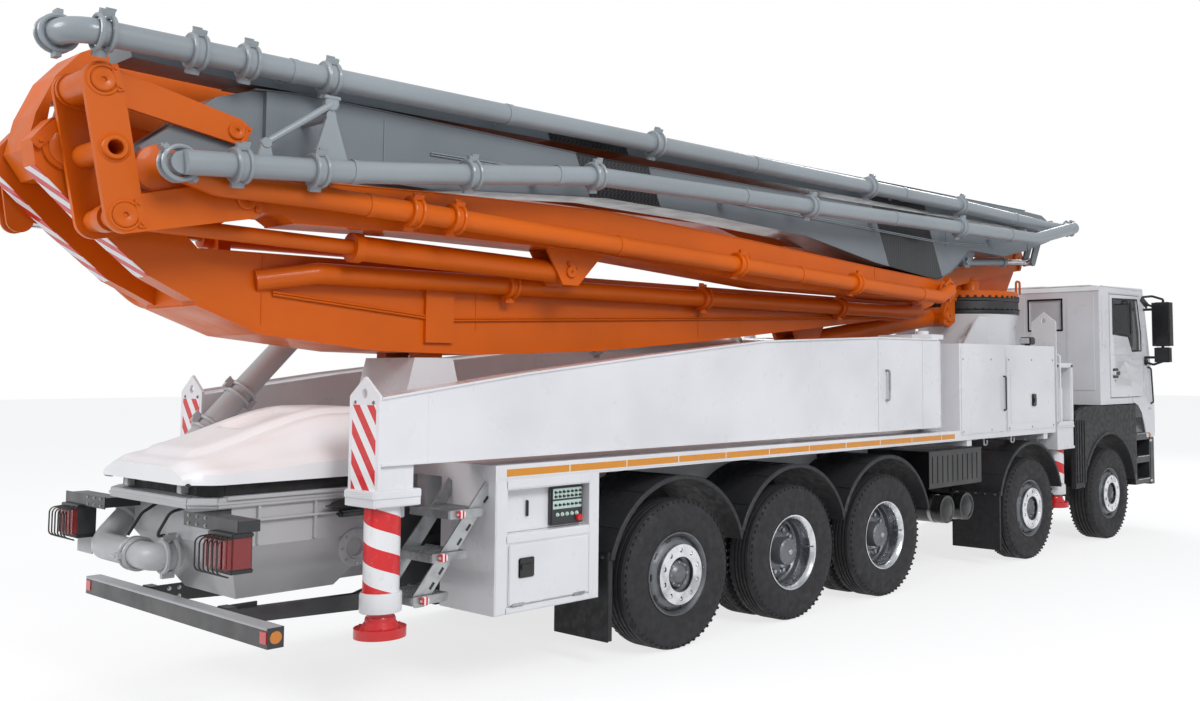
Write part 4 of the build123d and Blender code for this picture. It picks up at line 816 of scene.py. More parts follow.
def wheel(number, side):
    """Dressed wheel: tyre with lugs, dished or ringed rim, nuts and hub."""
    x, body = AXLES[number - 1], f"wheel_{number}_{side}"
    z = axle_height * 1000

    def out(depth):
        return FACE_Y - depth

    def turned(form, profile, steps=64):
        return form.ring([(radius, out(depth)) for radius, depth in profile], (x, 0, z), "y", steps)

    def around(radius, depth, count):
        """Places around the wheel, each with its direction away from the hub."""
        ways = [(math.cos(math.tau * i / count), 0, math.sin(math.tau * i / count)) for i in range(count)]
        return [((x + radius * c, out(depth), z + radius * s), (c, 0, s)) for c, _, s in ways]

    twin = number in (3, 4)
    tyre = Form()
    starts = ((0, 262), (302, 262)) if twin else ((0, 300),)
    for start, width in starts:
        turned(tyre, tyre_section(start, width), 96)
    tyre_piece = tyre.done(f"tyre_{number}_{side}", body, tyre_rubber, smooth=28)
    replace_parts(tyre_piece, body)
    shoulders = [depth for start, width in starts for depth in (start + 24, start + width - 24)]
    rows = [(place, ACROSS, outward) for depth in shoulders for place, outward in around(509, depth, 60)]
    bars(f"tyre_lugs_{number}_{side}", body, rows, 34, 18, 9, tyre_rubber)
    well = 564 if twin else 300
    barrel = [(RIM + 2, 18), (RIM + 2, 30), (276, 46), (268, 90), (262, well - 60), (280, well - 20),
        (RIM, well - 20), (RIM, well - 26), (284, well - 28), (256, well - 62), (256, 60), (262, 46),
        (270, 34), (282, 20)]
    turned(Form(), barrel, 72).done(f"rim_{number}_{side}", body, bright_rim if twin else rim_paint)
    if twin:
        dish = [(258, 70), (262, 96), (252, 190), (236, 206), (202, 196), (150, 178), (108, 172),
            (108, 186), (150, 194), (202, 214), (240, 226), (262, 200)]
        turned(Form(), dish, 64).done(f"dish_{number}_{side}", body, rim_paint)
        cap = [(0, 52), (60, 52), (92, 60), (104, 72), (108, 96), (108, 176), (112, 186), (0, 186)]
        turned(Form(), cap, 48).done(f"hub_{number}_{side}", body, rim_paint)
        boss = [(0, 40), (18, 40), (22, 44), (24, 54), (40, 54), (42, 60), (0, 60)]
        turned(Form(), boss, 32).done(f"hub_boss_{number}_{side}", body, steel)
        bolts(f"hub_bolts_{number}_{side}", body,
              circle((x, out(70), z), 92, 12, "y", 1), 7, 7, steel)
        bolts(f"wheel_nuts_{number}_{side}", body, circle((x, out(190), z), 168, 10, "y", 1), 17, 26, steel)
        # painted shade: flat black patches where the hand holes would show the wheel's dark inside
        holes = [(place, outward, ACROSS) for place, outward in around(226, 203, 8)]
        bars(f"hand_holes_{number}_{side}", body, holes, 26, 64, 6, black_paint)
    else:
        disc = [(255, 92), (258, 60), (236, 34), (212, 22), (180, 20), (146, 26), (120, 34), (96, 60),
            (96, 84), (150, 84), (205, 84), (240, 96)]
        turned(Form(), disc, 64).done(f"disc_{number}_{side}", body, rim_paint)
        ring_face(number, side, x, z, body)
        hub = [(0, -8), (44, -8), (58, -2), (66, 10), (74, 14), (88, 18), (96, 30), (100, 62), (104, 84),
            (0, 84)]
        turned(Form(), hub, 48).done(f"hub_{number}_{side}", body, rim_paint)
        bolts(f"hub_bolts_{number}_{side}", body, circle((x, out(16), z), 80, 8, "y", 1), 7, 8, steel)
        bolts(f"wheel_nuts_{number}_{side}", body, circle((x, out(26), z), 176, 10, "y", 1, math.pi / 10),
            16, 24, bright_rim)
        # painted shade: flat black patches where the hand holes would show the wheel's dark inside
        holes = [(place, outward, ACROSS) for place, outward in around(240, 40, 10)]
        bars(f"hand_holes_{number}_{side}", body, holes, 22, 46, 5, black_paint)
    rails(f"valve_{number}_{side}", body, [[(x + 250, out(90), z + 12), (x + 262, out(52), z + 14),
                                          (x + 262, out(20), z + 14)]], 5, 12, steel)


def flat_ring(rings, depth, bevel):
    """Flat face cut from circles, given as (centre x, centre z, radius), with a small rounded edge."""
    curve = bpy.data.curves.new("flat_ring", "CURVE")
    curve.dimensions, curve.fill_mode = "2D", "BOTH"
    curve.extrude, curve.bevel_depth, curve.bevel_resolution = depth / 2000, bevel / 1000, 1
    for cx, cz, radius in rings:
        count = 64 if radius > 60 else 16
        spline = curve.splines.new("POLY")
        spline.points.add(count - 1)
        for i in range(count):
            turn = math.tau * i / count
            spline.points[i].co = ((cx + radius * math.cos(turn)) / 1000,
                (cz + radius * math.sin(turn)) / 1000, 0, 1)
        spline.use_cyclic_u = True
    return baked(linked("flat_ring", curve))


def ring_face(number, side, x, z, body):
    """Bright guard ring with ten round holes over the nuts of a steered wheel."""
    holes = [(170 * math.cos(t), 170 * math.sin(t), 19)
        for t in (math.tau * (i + 0.5) / 10 for i in range(10))]
    mesh = flat_ring([(0, 0, 208), (0, 0, 126)] + holes, 14, 4)
    mesh.transform(Matrix.Translation(spot(x, (FACE_Y + 2), z)) @ Matrix.Rotation(math.pi / 2, 4, "X"))
    finished(f"guard_ring_{number}_{side}", mesh, body, bright_rim)
    Form().ring([(208, FACE_Y - 8), (212, FACE_Y - 4), (212, FACE_Y - 60),
                 (206, FACE_Y - 60), (204, FACE_Y - 8)], (x, 0, z), "y", 64).done(
        f"guard_skirt_{number}_{side}", body, bright_rim)


for side in both_sides():
    for number in (1, 2, 3, 4, 5):
        wheel(number, side)


# ------------------------------------------------------------------ support legs and rear outrigger arms
def cap_and_keeper(name, body, centre, y, way, radius, material, turn):
    """Pin end seen from outside: stepped cap with a grease bore, a keeper plate and its two bolts."""
    x, z = centre
    profile = [(0.22 * radius, y), (0.22 * radius, y + way * 10), (0.34 * radius, y + way * 14),
        (0.86 * radius, y + way * 14), (0.98 * radius, y + way * 8), (radius, y - way * 3),
        (0.22 * radius, y - way * 3)]
    Form().ring(profile, (x, 0, z), "y", 40).done(name + "_cap", body, material)
    c, s = math.cos(turn), math.sin(turn)
    reach, long, wide = radius * 1.12, radius * 1.15, radius * 0.3

    def at(a, b):
        return (x + a * c - b * s, z + a * s + b * c)

    plate = [at(reach - wide, -long), at(reach + wide, -long), at(reach + wide, long),
        at(reach - wide, long)]
    Form().plate(plate, y - way * 2, y + way * 11, "y", 3).done(name + "_keeper", body, material)
    ends = [at(reach, b) for b in (-long * 0.68, long * 0.68)]
    bolts(name + "_keeper_bolts", body, [((a, y + way * 11, b), (0, way, 0)) for a, b in ends],
          max(5, radius * 0.14), max(4, radius * 0.11), material)


for side in both_sides():
    rear_body, front_body = f"rear_outrigger_{side}", f"front_outrigger_{side}"
    for label, body, x, y, low, high in (("rear", rear_body, -2295, 1100, 697, 1199),
                                         ("front", front_body, SLEW_X, 1100, 697, 1098)):
        centre = spot(x, y, 0)
        wound = spiral(f"{label}_leg_stripes_{side}", (centre.x, centre.y), 0.22)
        Form().ring([(99.6, low), (101.6, low), (101.6, high), (99.6, high)], (x, y, 0), "z", 72).done(
            f"{label}_leg_sleeve_{side}", body, wound)
        Form().ring([(101, 706), (112, 706), (115, 700), (115.5, 610), (112, 603), (116, 601), (117.5, 604),
                     (117.5, 697), (114, 709), (101, 712)], (x, y, 0), "z", 72).done(
            f"{label}_leg_collar_{side}", body, gloss_white)
        jack = f"{label}_jack_{side}"
        Form().ring([(76, 515), (84, 520), (86, 560), (80, 575), (76, 575)], (x, y, 0), "z", 48).done(
            f"{label}_foot_boss_{side}", jack, red_paint)
        bolts(f"{label}_foot_bolts_{side}", jack, circle((x, y, 515), 124, 6, "z", 1), 8, 7, red_paint)
    # marker plates and their stripes
    slanted = stripes(f"marker_stripes_{side}", red_colour, linear(238, 238, 240), 0.17, (0, -1.15, 1.0))
    low_y, high_y = 972, 1218           # edges of the marker plate
    Form().plate([(low_y, 1235), (high_y, 1235), (high_y, 1770), (low_y, 1770)], -2423, -2424.6, "x").done(
        f"rear_marker_panel_{side}", rear_body, slanted)
    bolts(f"rear_marker_bolts_{side}", rear_body,
          [((-2423, y, z), (-1, 0, 0)) for y in (1000, 1190) for z in (1222, 1784)], 8, 6, steel)
    # arm: end collar, flanges, seams, rail and pivot caps
    blocks(f"arm_end_collar_{side}", rear_body, white, (-2452, -2140, 944, 1256, 1240, 1292, 8),
        (-2444, -2148, 950, 1252, 1196, 1232, 8))
    top = [(-2405, 1800), (-1410, 1935), (-370, 2050), (910, 2180), (2450, 2240), (3420, 2240)]
    Form().strip([(x, z + 1) for x, z in reversed(top)], 1236, 1260, 14).done(
        f"arm_top_flange_{side}", rear_body, white)
    Form().strip([(-2405, 1441), (3420, 1441)], 1236, 1257, 12).done(
        f"arm_bottom_flange_{side}", rear_body, white)
    blocks(f"arm_seams_{side}", rear_body, white, (-2106, -2098, 1249, 1252.5, 1442, 1828, 1),
        (2440, 2462, 1249, 1256, 1442, 2236, 2), (3150, 3162, 1249, 1255, 1442, 2236, 2))
    rails(f"arm_rail_{side}", rear_body, [[(2560, BODY_FACE, 1960), (2560, 1290, 1960), (2560, 1290, 1700),
                                          (2560, BODY_FACE, 1700)]], 11, 20, steel)
    for z, up in ((2240, 1), (1430, -1)):
        Form().ring([(0, z), (130, z), (140, z + up * 4), (140, z + up * 16), (132, z + up * 20),
            (0, z + up * 20)], (3420, 1080, 0), "z", 48).done(
            f"arm_pivot_cap_{side}_{'top' if up > 0 else 'foot'}", rear_body, white)
    # jack supply pipes beside the leg
    rails(f"leg_pipes_{side}", rear_body, [
        [(-2150, 1050, 1300), (-2150, 1050, 1180), (-2180, 1040, 1120), (-2180, 1040, 760)],
        [(-2150, 1000, 1300), (-2150, 1000, 1150), (-2190, 1005, 1080), (-2190, 1005, 760)]],
        9, 30, steel)
    blocks(f"leg_valve_{side}", rear_body, steel, (-2190, -2130, 985, 1070, 1110, 1190, 5))
    # front leg: head plates, rail and cover
    head = Form()
    head.plate([(970, 1330), (1246, 1330), (1246, 1352), (970, 1352)], 5840, 6262, "x", 4)
    head.plate([(970, 1096), (1246, 1096), (1246, 1126), (970, 1126)], 5840, 6262, "x", 4)
    head.done(f"front_leg_head_{side}", front_body, white)
    rails(f"front_leg_rail_{side}", front_body, [
        [(5852, 1252, 2130), (5852, 1285, 2130), (5852, 1285, 1400), (5852, 1252, 1400)]],
        10, 30, white)
    blocks(f"front_leg_cover_{side}", front_body, white, (5836, 6240, 1236, BODY_FACE, 1352, 1400, 4),
        (6180, 6240, 960, BODY_FACE, 1400, 2030, 10), (5850, 5900, 960, BODY_FACE, 1400, 2030, 10),
        (5850, 6240, 960, BODY_FACE, 1985, 2040, 10))

# ------------------------------------------------------------------ deck, boxes and cabinets
for side in both_sides():
    face = BODY_FACE
    Form().plate([(-1598, 1302), (3790, 1302), (3790, 1372), (-1598, 1372)], face, face + 3, "y").done(
        f"deck_edge_{side}", "truck", white)
    Form().plate([(-1540, 1314), (3700, 1314), (3700, 1358), (-1540, 1358)], face + 2.5, face + 4.2,
        "y").done(f"deck_tape_{side}", "truck", orange_tape)
    bars(f"deck_tape_joints_{side}", "truck",
         [((x, face + 4.4, 1336), ALONG, ACROSS) for x in range(-1040, 3700, 500)], 8, 46, 1.2, white)
    # rear cabinet: frame, door, recess with its panel and switches, latch
    frame = Form()
    for x0, x1, z0, z1 in ((-1616, -1530, 484, 1286), (-872, -789, 484, 1286), (-1540, -865, 1236, 1286),
                           (-1540, -865, 484, 520), (-1540, -865, 905, 952)):
        frame.block(x0, x1, face + 5, face - 3, z0, z1, 3)
    frame.done(f"cabinet_frame_{side}", "truck", white)
    Form().block(-1520, -885, face + 2, face + 14, 530, 896, 12).done(
        f"cabinet_door_{side}", "truck", white)
    back = face - 84
    Form().block(-1534, -871, back, back + 4, 962, 1228, 0).done(
        f"cabinet_recess_{side}", "truck", white)
    blocks(f"control_panel_{side}", "truck", charcoal, (-1150, -885, back + 4, back + 40, 975, 1215, 6))
    screens = Form()
    for x0, x1, z0, z1 in ((-1138, -900, 1140, 1206), (-1138, -900, 1076, 1128)):
        screens.block(x0, x1, back + 40, back + 44, z0, z1, 2)
    screens.done(f"control_screens_{side}", "truck", screen_white)
    rows = [((-1120 + 34 * i, back + 44, z), ACROSS) for i in range(7) for z in (1156, 1184, 1102)]
    bolts(f"control_switches_{side}", "truck", rows, 6, 14, black_paint)
    bolts(f"control_keys_{side}", "truck", [((-1100 + 40 * i, back + 40, 1040), ACROSS) for i in range(5)],
        9, 10, screen_white)
    Form().ring([(0, back + 40), (22, back + 40), (24, back + 50), (20, back + 62), (0, back + 64)],
                (-925, 0, 1010), "y", 28).done(f"stop_button_{side}", "truck", red_paint)
    Form().block(-1330, -1316, back + 4, back + 26, 1050, 1150, 4).done(
        f"recess_handle_{side}", "truck", charcoal)
    blocks(f"cabinet_latch_{side}", "truck", black_paint,
        (-1452, -1330, face + 12, face + 26, 690, 812, 10),
        (-1440, -1350, face + 26, face + 34, 738, 776, 8))
    bars(f"cabinet_hinges_{side}", "truck", [((x, face + 12, 534), ALONG, ACROSS) for x in (-1450, -960)],
         90, 16, 14, steel)
    # tall front box: door panels, handle, grab rail, bolts and hooks
    doors = Form()
    for x0, x1, z0, z1 in ((3830, 4680, 1345, 2190), (4724, 5760, 1345, 2100)):
        doors.block(x0, x1, face, face + 7, z0, z1, 5)
    doors.done(f"front_box_doors_{side}", "truck", white)
    blocks(f"front_box_inset_{side}", "truck", white, (4790, 5480, face + 6, face + 10, 1420, 1980, 6))
    blocks(f"front_box_handle_{side}", "truck", black_paint,
        (5236, 5316, face + 8, face + 30, 1585, 1715, 8), (5250, 5300, face + 30, face + 38, 1625, 1675, 6))
    rails(f"front_box_grab_{side}", "truck",
        [[(4650, face + 5, 1900), (4650, face + 34, 1900), (4650, face + 34, 1560),
        (4650, face + 5, 1560)]], 9, 18, charcoal)
    bolts(f"front_box_bolts_{side}", "truck", [((x, face + 7, z), ACROSS)
        for x in (3860, 4400, 4760, 5250, 5730) for z in (1372, 2070)], 7, 4, steel)
    hooks = [[(x, face - 30, 1300), (x, face - 30, 1225), (x + 60, face - 30, 1225),
              (x + 60, face - 30, 1270)] for x in (4300, 4850)]
    rails(f"front_box_hooks_{side}", "truck", hooks, 9, 16, steel)
    # rear steps: edges, toothed treads, end caps, and flat black patches as painted shade in the ladder's
    # slots
    for n, (x, z) in enumerate(((-1780, 1090), (-1900, 850), (-2020, 620))):
        tread = Form()
        y0, y1 = 786, 1194
        tread.block(x - 136, x - 118, y0, y1, z - 4, z + 44, 3)
        tread.block(x + 98, x + 116, y0, y1, z - 4, z + 44, 3)
        tread.block(x - 130, x + 110, 1190, 1200, z - 6, z + 46, 3)
        tread.done(f"step_edge_{side}_{n}", "truck", aluminium)
        bars(f"step_teeth_{side}_{n}", "truck", [((x - 100 + 22 * i, 820 + 26 * k, z + 37), ALONG, UP)
                                                for i in range(10) for k in range(14)], 10, 7, 7, aluminium)
        target = stripes(f"step_cap_{side}_{n}", red_colour, stripe_white, 0.024, (1.0, 0, 0))
        Form().ring([(0, 1200), (24, 1200), (26, 1204), (26, 1226), (22, 1230), (0, 1230)],
                    (x - 60, 0, z + 20), "y", 24).done(f"step_end_{side}_{n}", "truck", target)
    # painted shade: flat black patches where the ladder's slots are
    holes = [((-1640 - 62 * i, 1186 if side == "left" else 1181, 1180 - 78 * i), (-0.62, 0, -0.78), ACROSS)
             for i in range(7)]
    bars(f"ladder_slots_{side}", "truck", holes, 46, 16, 3, black_paint)


# ------------------------------------------------------------------ boom
PIPE_3 = [(4250, 2774), (4050, 2690), (-2600, 2955), (-3200, 2960), (-3450, 3030)]
PIPE_4 = [(-3450, 3030), (-2650, 3085), (-2200, 3130), (-670, 3305), (4180, 3390), (5800, 3415),
    (6750, 3620)]
PIPE_5 = [(6750, 3620), (6390, 3610), (4300, 3655), (-3686, 3655)]


def on_run(run, x):
    """Height and direction of a pipe's run at a place along the boom."""
    for (xa, za), (xb, zb) in zip(run, run[1:]):
        if min(xa, xb) <= x <= max(xa, xb):
            return za + (x - xa) / (xb - xa) * (zb - za), (xb - xa, 0, zb - za)
    return run[-1][1], ALONG


def clamp_rows(run, y, stations, upward=UP):
    rows = []
    for x in stations:
        z, way = on_run(run, x)
        rows.append(((x, y, z), way, upward))
    return rows


def clamp_set(name, body, rows, material, radius=86, width=32):
    return grown(name, body, material, clamps, places(rows),
        {"Radius": radius / 1000, "Width": width / 1000})


flat_1, flat_2, deck_run = [(4300, 2560), (-2350, 2560)], [(-3000, 3480), (1500, 3480)], [(-1200, 2200),
    (4150, 2200)]
clamp_set("clamps_1", "boom_section_1", clamp_rows(flat_1, -410, (3000, 1100, -900)), orange)
clamp_set("clamps_2", "boom_section_2", clamp_rows(flat_2, 432, (-2200, -300, 1300)), orange)
clamp_set("clamps_3", "boom_section_3", clamp_rows(PIPE_3, -890, (2600, 1000, -1700, -2000), (0, -0.5, 1))
          + [((4250, -856, 2774), ACROSS, UP)], orange)
clamp_set("clamps_4", "boom_section_4", clamp_rows(PIPE_4, -1048, (-3160, -2720, -1700, -670, 1740, 4180),
    (0, -0.4, 1)) + [((-3450, -985, 3030), ACROSS, (-1, 0, 1)), ((6750, -985, 3620), ACROSS, (1, 0, 1))],
    pipe_grey)
clamp_set("clamps_5", "boom_section_5", clamp_rows(PIPE_5, -890, (4440, 2830, 60, -2580, -3060, -3340),
    (0, -0.4, 1)) + [((-3946, -700, 3655), ACROSS, UP), ((-3800, -890, 3655), ALONG, (0, -0.4, 1))],
    pipe_grey)
clamp_set("deck_line_clamps", "truck", clamp_rows(deck_run, 580, (-1000, 800, 2600)), hopper_grey, 98, 30)

LEVER_TOP, LEVER_EYE, LEVER_TUBE = (-3760, 3440), (-3630, 2760), (-3695, 3100)
FRONT_KNUCKLE, TIP_KNUCKLE, BOOM_FOOT, LIFT_BASE = (4250, 2774), (6750, 3620), (6700, 3300), (5310, 2560)
# pin, body, centre in X and Z, Y of the face, way that the face looks, radius and turn of the keeper
for label, body, centre, y, way, radius, turn in (
        ("lever_top", "knuckle_lever", LEVER_TOP, -805, -1, 62, 0.3),
        ("lever_eye", "knuckle_lever", LEVER_EYE, -805, -1, 66, 0.2),
        ("lever_pivot", "boom_section_3", (-3000, 2910), -811, -1, 58, 0.0),
        ("link_eye", "knuckle_link", (-3050, 3290), -768, -1, 50, -0.4),
        ("rear_knuckle_near", "boom_section_2", (-3750, 3150), -358, -1, 104, 2.4),
        ("front_knuckle", "boom_section_2", FRONT_KNUCKLE, -820, -1, 58, 3.1),
        ("tip_knuckle", "boom_section_4", TIP_KNUCKLE, -768, -1, 56, 1.6),
        ("boom_foot_near", "turret", BOOM_FOOT, -340, -1, 84, -0.6),
        ("lift_base_near", "turret", LIFT_BASE, -225, -1, 64, 2.6),
        ("cylinder_4_base", "boom_section_3", (-570, 2665), -696, -1, 44, 1.3),
        ("cylinder_5_base", "boom_section_4", (4950, 3120), -680, -1, 32, 1.3),
        ("lever_top_far", "knuckle_lever", LEVER_TOP, -375, 1, 62, 0.3),
        ("lever_eye_far", "knuckle_lever", LEVER_EYE, -375, 1, 66, 0.2),
        ("boom_foot_far", "turret", BOOM_FOOT, 340, 1, 84, -0.6),
        ("lift_base_far", "turret", LIFT_BASE, 225, 1, 64, 2.6),
        ("tip_knuckle_far", "boom_section_4", TIP_KNUCKLE, -412, 1, 56, 1.6)):
    cap_and_keeper(label, body, centre, y, way, radius, pipe_grey if body == "boom_section_4" else orange,
        turn)
# bell crank: raised boss rings where the cross tubes come through its plates
boss = Form()
for centre, radius in ((LEVER_TOP, 80), (LEVER_EYE, 80), (LEVER_TUBE, 74)):
    for y, way in ((-805, -1), (-375, 1)):
        boss.ring([(radius - 14, y - way * 4), (radius, y - way * 4), (radius + 6, y),
            (radius - 2, y + way * 7), (radius - 12, y + way * 7), (radius - 14, y + way * 2)],
            (centre[0], 0, centre[1]), "y", 40)
boss.done("lever_bosses", "knuckle_lever", orange)
boss = Form()
boss.ring([(38, -812), (38, -826), (44, -832), (58, -832), (64, -824), (70, -808), (70, -800), (38, -800)],
    (-3695, 0, 3100), "y", 40)
boss.done("lever_tube_lip", "knuckle_lever", orange)

# third section's cheek over the rear knuckle, with its pin cap
cheek = Form()
cheek.ring([(0, -768), (118, -768), (126, -764), (126, -730), (0, -730)], (-3450, 0, 3030), "y", 48)
cheek.plate([(-3500, 2916), (-3150, 2852), (-3150, 3030), (-3430, 3154)], -766, -732, "y", 3)
cheek.done("knuckle_cheek", "boom_section_3", orange)
cap_and_keeper("knuckle_cheek_pin", "boom_section_3", (-3380, 2990), -768, -1, 40, orange, 0.2)

# hazard strips on the tail of the root section
tail_stripes = stripes("tail_stripes", red_colour, stripe_white, 0.16, (1.1, 1.0, 0.0))
tail = [(-3900, 3040), (-3620, 2760), (-3310, 2490)]
for label, y0, y1 in (("near", -326, -166), ("far", 216, 326)):
    Form().strip(tail, y0, y1, 3).done(f"tail_strip_{label}", "boom_section_1", tail_stripes)

# lips and weld beads along the box sections
belly = [(-3050, 2345), (-2670, 2190), (-1900, 2100), (-1100, 2080), (20, 2120), (1130, 2210), (3430, 2440),
    (4400, 2548)]
Form().strip(belly, -340, 340, 9).done("section_1_belly_plate", "boom_section_1", orange)
Form().strip([(4400, 2660), (-3040, 2660)], -338, 338, 8).done("section_1_top_plate", "boom_section_1",
    orange)
lens_top = [(6150, 3522), (4370, 3532), (1500, 3502), (-310, 3502), (-2130, 3552), (-2650, 3562),
    (-2950, 3542)]
lens_foot = [(-2950, 3163), (-2650, 3123), (-1800, 3118), (-310, 3223), (760, 3208), (2040, 3153),
    (3110, 2988), (4200, 2886), (4460, 2973), (4870, 3233)]
Form().strip(lens_top, -766, -414, 6).strip(lens_foot, -766, -414, 6).done("section_4_lips",
    "boom_section_4", boom_4_finish)
Form().strip([(6150, 3790), (-3000, 3735)], -741, -449, 6).strip([(-3000, 3580), (6150, 3580)], -741, -449,
    6).done("section_5_lips", "boom_section_5", boom_5_finish)
third_top = [(4250, 2870), (3100, 2930), (1300, 3040), (-300, 3120), (-1800, 3090), (-3150, 3035)]
third_foot = [(-2700, 2812), (-1870, 2830), (-470, 2820), (1660, 2676), (4200, 2674)]
Form().strip(third_top, -766, -414, 6).strip(third_foot, -766, -414, 6).done("section_3_lips",
    "boom_section_3", orange)
for name, body, stations, y, z0, z1, material in (
        ("section_1_beads", "boom_section_1", (-2660, -1120, 1130, 3420, 4400), -332, 2240, 2650, orange),
        ("section_3_beads", "boom_section_3", (-1870, 1300, 3100), -762, 2830, 2930, orange),
        ("section_4_beads", "boom_section_4", (-2130, 4380, 6150), -762, 3240, 3500, boom_4_finish)):
    bead = Form()
    for x in stations:
        bead.bar((x, y, z0 if x < 3000 else z0 + 340 if body.endswith("1") else z0), (x, y, z1), 5, 8)
    bead.done(name, body, material)

# brace from the fourth section's pipe to the hanger's head
brace = Form()
brace.bar((-3010, -1040, 3200), (-2650, -1056, 3465), 20, 20)
brace.ring([(0, -1072), (34, -1072), (42, -1066), (42, -1034), (34, -1028), (0, -1028)], (-2650, 0, 3470),
    "y", 28)
brace.ring([(0, -1062), (26, -1062), (30, -1056), (30, -1030), (26, -1026), (0, -1026)], (-3020, 0, 3192),
    "y", 24)
brace.plate([(-3070, 3110), (-2980, 3110), (-3004, 3215), (-3040, 3215)], -1056, -1036, "y", 3)
brace.block(-2700, -2600, -1075, -1025, 3490, 3512, 5)
brace.done("pipe_brace", "boom_section_4", pipe_grey)
# brackets that carry the pipes, with their saddles
for name, body, run, y, wall, stations, material in (
        ("saddles_3", "boom_section_3", PIPE_3, -890, -764, (3700, 1800, -300, -2300), orange),
        ("saddles_4", "boom_section_4", PIPE_4, -1048, -764, (-2500, -1000, 900, 3000, 5200), pipe_grey),
        ("saddles_5", "boom_section_5", PIPE_5, -890, -740, (5600, 3400, 1200, -1300, -2800), pipe_grey)):
    saddle = Form()
    for x in stations:
        z, _ = on_run(run, x)
        saddle.block(x - 26, x + 26, wall, wall + 6, z - 46, z + 46, 3)
        saddle.ring([(67, -20), (71, -20), (71, 20), (67, 20)], (x, y, z), "x", 36)
    saddle.done(name, body, material)
    bolts(name + "_bolts", body, [((x, wall - 1, on_run(run, x)[0] + dz), (0, -1, 0)) for x in stations
        for dz in (-36, 36)], 6, 5, steel)
# hose runs along the boom to its cylinders
rails("boom_hoses_1", "boom_section_1",
    [[(4200, -346, 2480 + d), (3400, -346, 2470 + d), (-1400, -346, 2300 + d), (-2600, -346, 2420 + d)]
    for d in (0, 16)], 7, 120, orange)
rails("boom_hoses_4", "boom_section_4",
    [[(5200, -768, 3300 + d), (4300, -768, 3260 + d), (1000, -768, 3330 + d), (-1800, -768, 3330 + d)]
    for d in (0, 14)], 5, 120, pipe_grey)

# ------------------------------------------------------------------ slewing ring and its pedestal
Form().ring([(598, 2596), (612, 2600), (618, 2606), (618, 2640), (612, 2648), (604, 2650)], (SLEW_X, 0, 0),
    "z", 96).done("ring_lower_flange", "truck", black_paint)
Form().ring([(598, 2736), (606, 2738), (614, 2744), (618, 2752), (618, 2776), (612, 2784), (598, 2786)],
    (SLEW_X, 0, 0), "z", 96).done("ring_upper_flange", "turret", charcoal)
bolts("ring_bolts", "turret", circle((SLEW_X, 0, 2786), 604, 44, "z", 1), 14, 18, black_paint)
bolts("ring_bolts_low", "truck", circle((SLEW_X, 0, 2650), 610, 44, "z", 1), 13, 10, black_paint)
Form().ring([(602, 2650), (608, 2652), (608, 2732), (602, 2734)], (SLEW_X, 0, 0), "z",
    96).done("ring_teeth_guard", "truck", charcoal)
pedestal = Form()
pedestal.ring([(542, 1390), (640, 1390), (646, 1400), (560, 2440), (604, 2590), (542, 2590)],
    (SLEW_X, 0, 0), "z", 72)
pedestal.done("pedestal_skirt", "truck", white)
for side in both_sides():
    wing = Form()
    wing.plate([(5150, 2230), (5480, 2560), (5700, 2560), (5700, 2230)], 470, 500, "y", 6)
    wing.plate([(4740, 1386), (4740, 1420), (5260, 2290), (5560, 2372), (5580, 2372), (5580, 1386)], 448,
        460, "y", 3)
    wing.done(f"pedestal_wing_{side}", "truck", white)
motor = Form()
for y in (260, -300):
    motor.ring([(0, 2780), (86, 2780), (92, 2788), (92, 2960), (84, 2972), (60, 2976), (60, 3010),
        (0, 3010)], (5660, y, 0), "z", 32)
motor.done("slew_motors", "turret", orange)


# ------------------------------------------------------------------ hopper and its hood
def ease(value, low, high):
    t = min(1.0, max(0.0, (value - low) / (high - low)))
    return t * t * (3 - 2 * t)


def hood_height(u, v):
    """Height of the hood's skin: u runs from its rear edge to the hinge, v from the middle outwards."""
    side = abs(v)
    rise = 60 + 235 * ease(u, 0.0, 0.85)
    wing = rise * (1 - ease(side, 0.62, 1.0) * 0.8)
    centre = 40 * (1 - ease(side, 0.42, 0.48)) * ease(u, 0.08, 0.16)
    dip = -34 * (1 - ease(side, 0.24, 0.29)) * ease(u, 0.42, 0.47) * (1 - ease(u, 0.74, 0.79))
    scoop = -34 * ease(side, 0.58, 0.66) * (1 - ease(side, 0.78, 0.92)) * ease(u, 0.3,
        0.6) * (1 - ease(u, 0.9, 1.0))
    edge = -30 * (1 - ease(u, 0.0, 0.07)) - 20 * ease(side, 0.93, 1.0)
    return 1400 + wing + centre + dip + scoop + edge


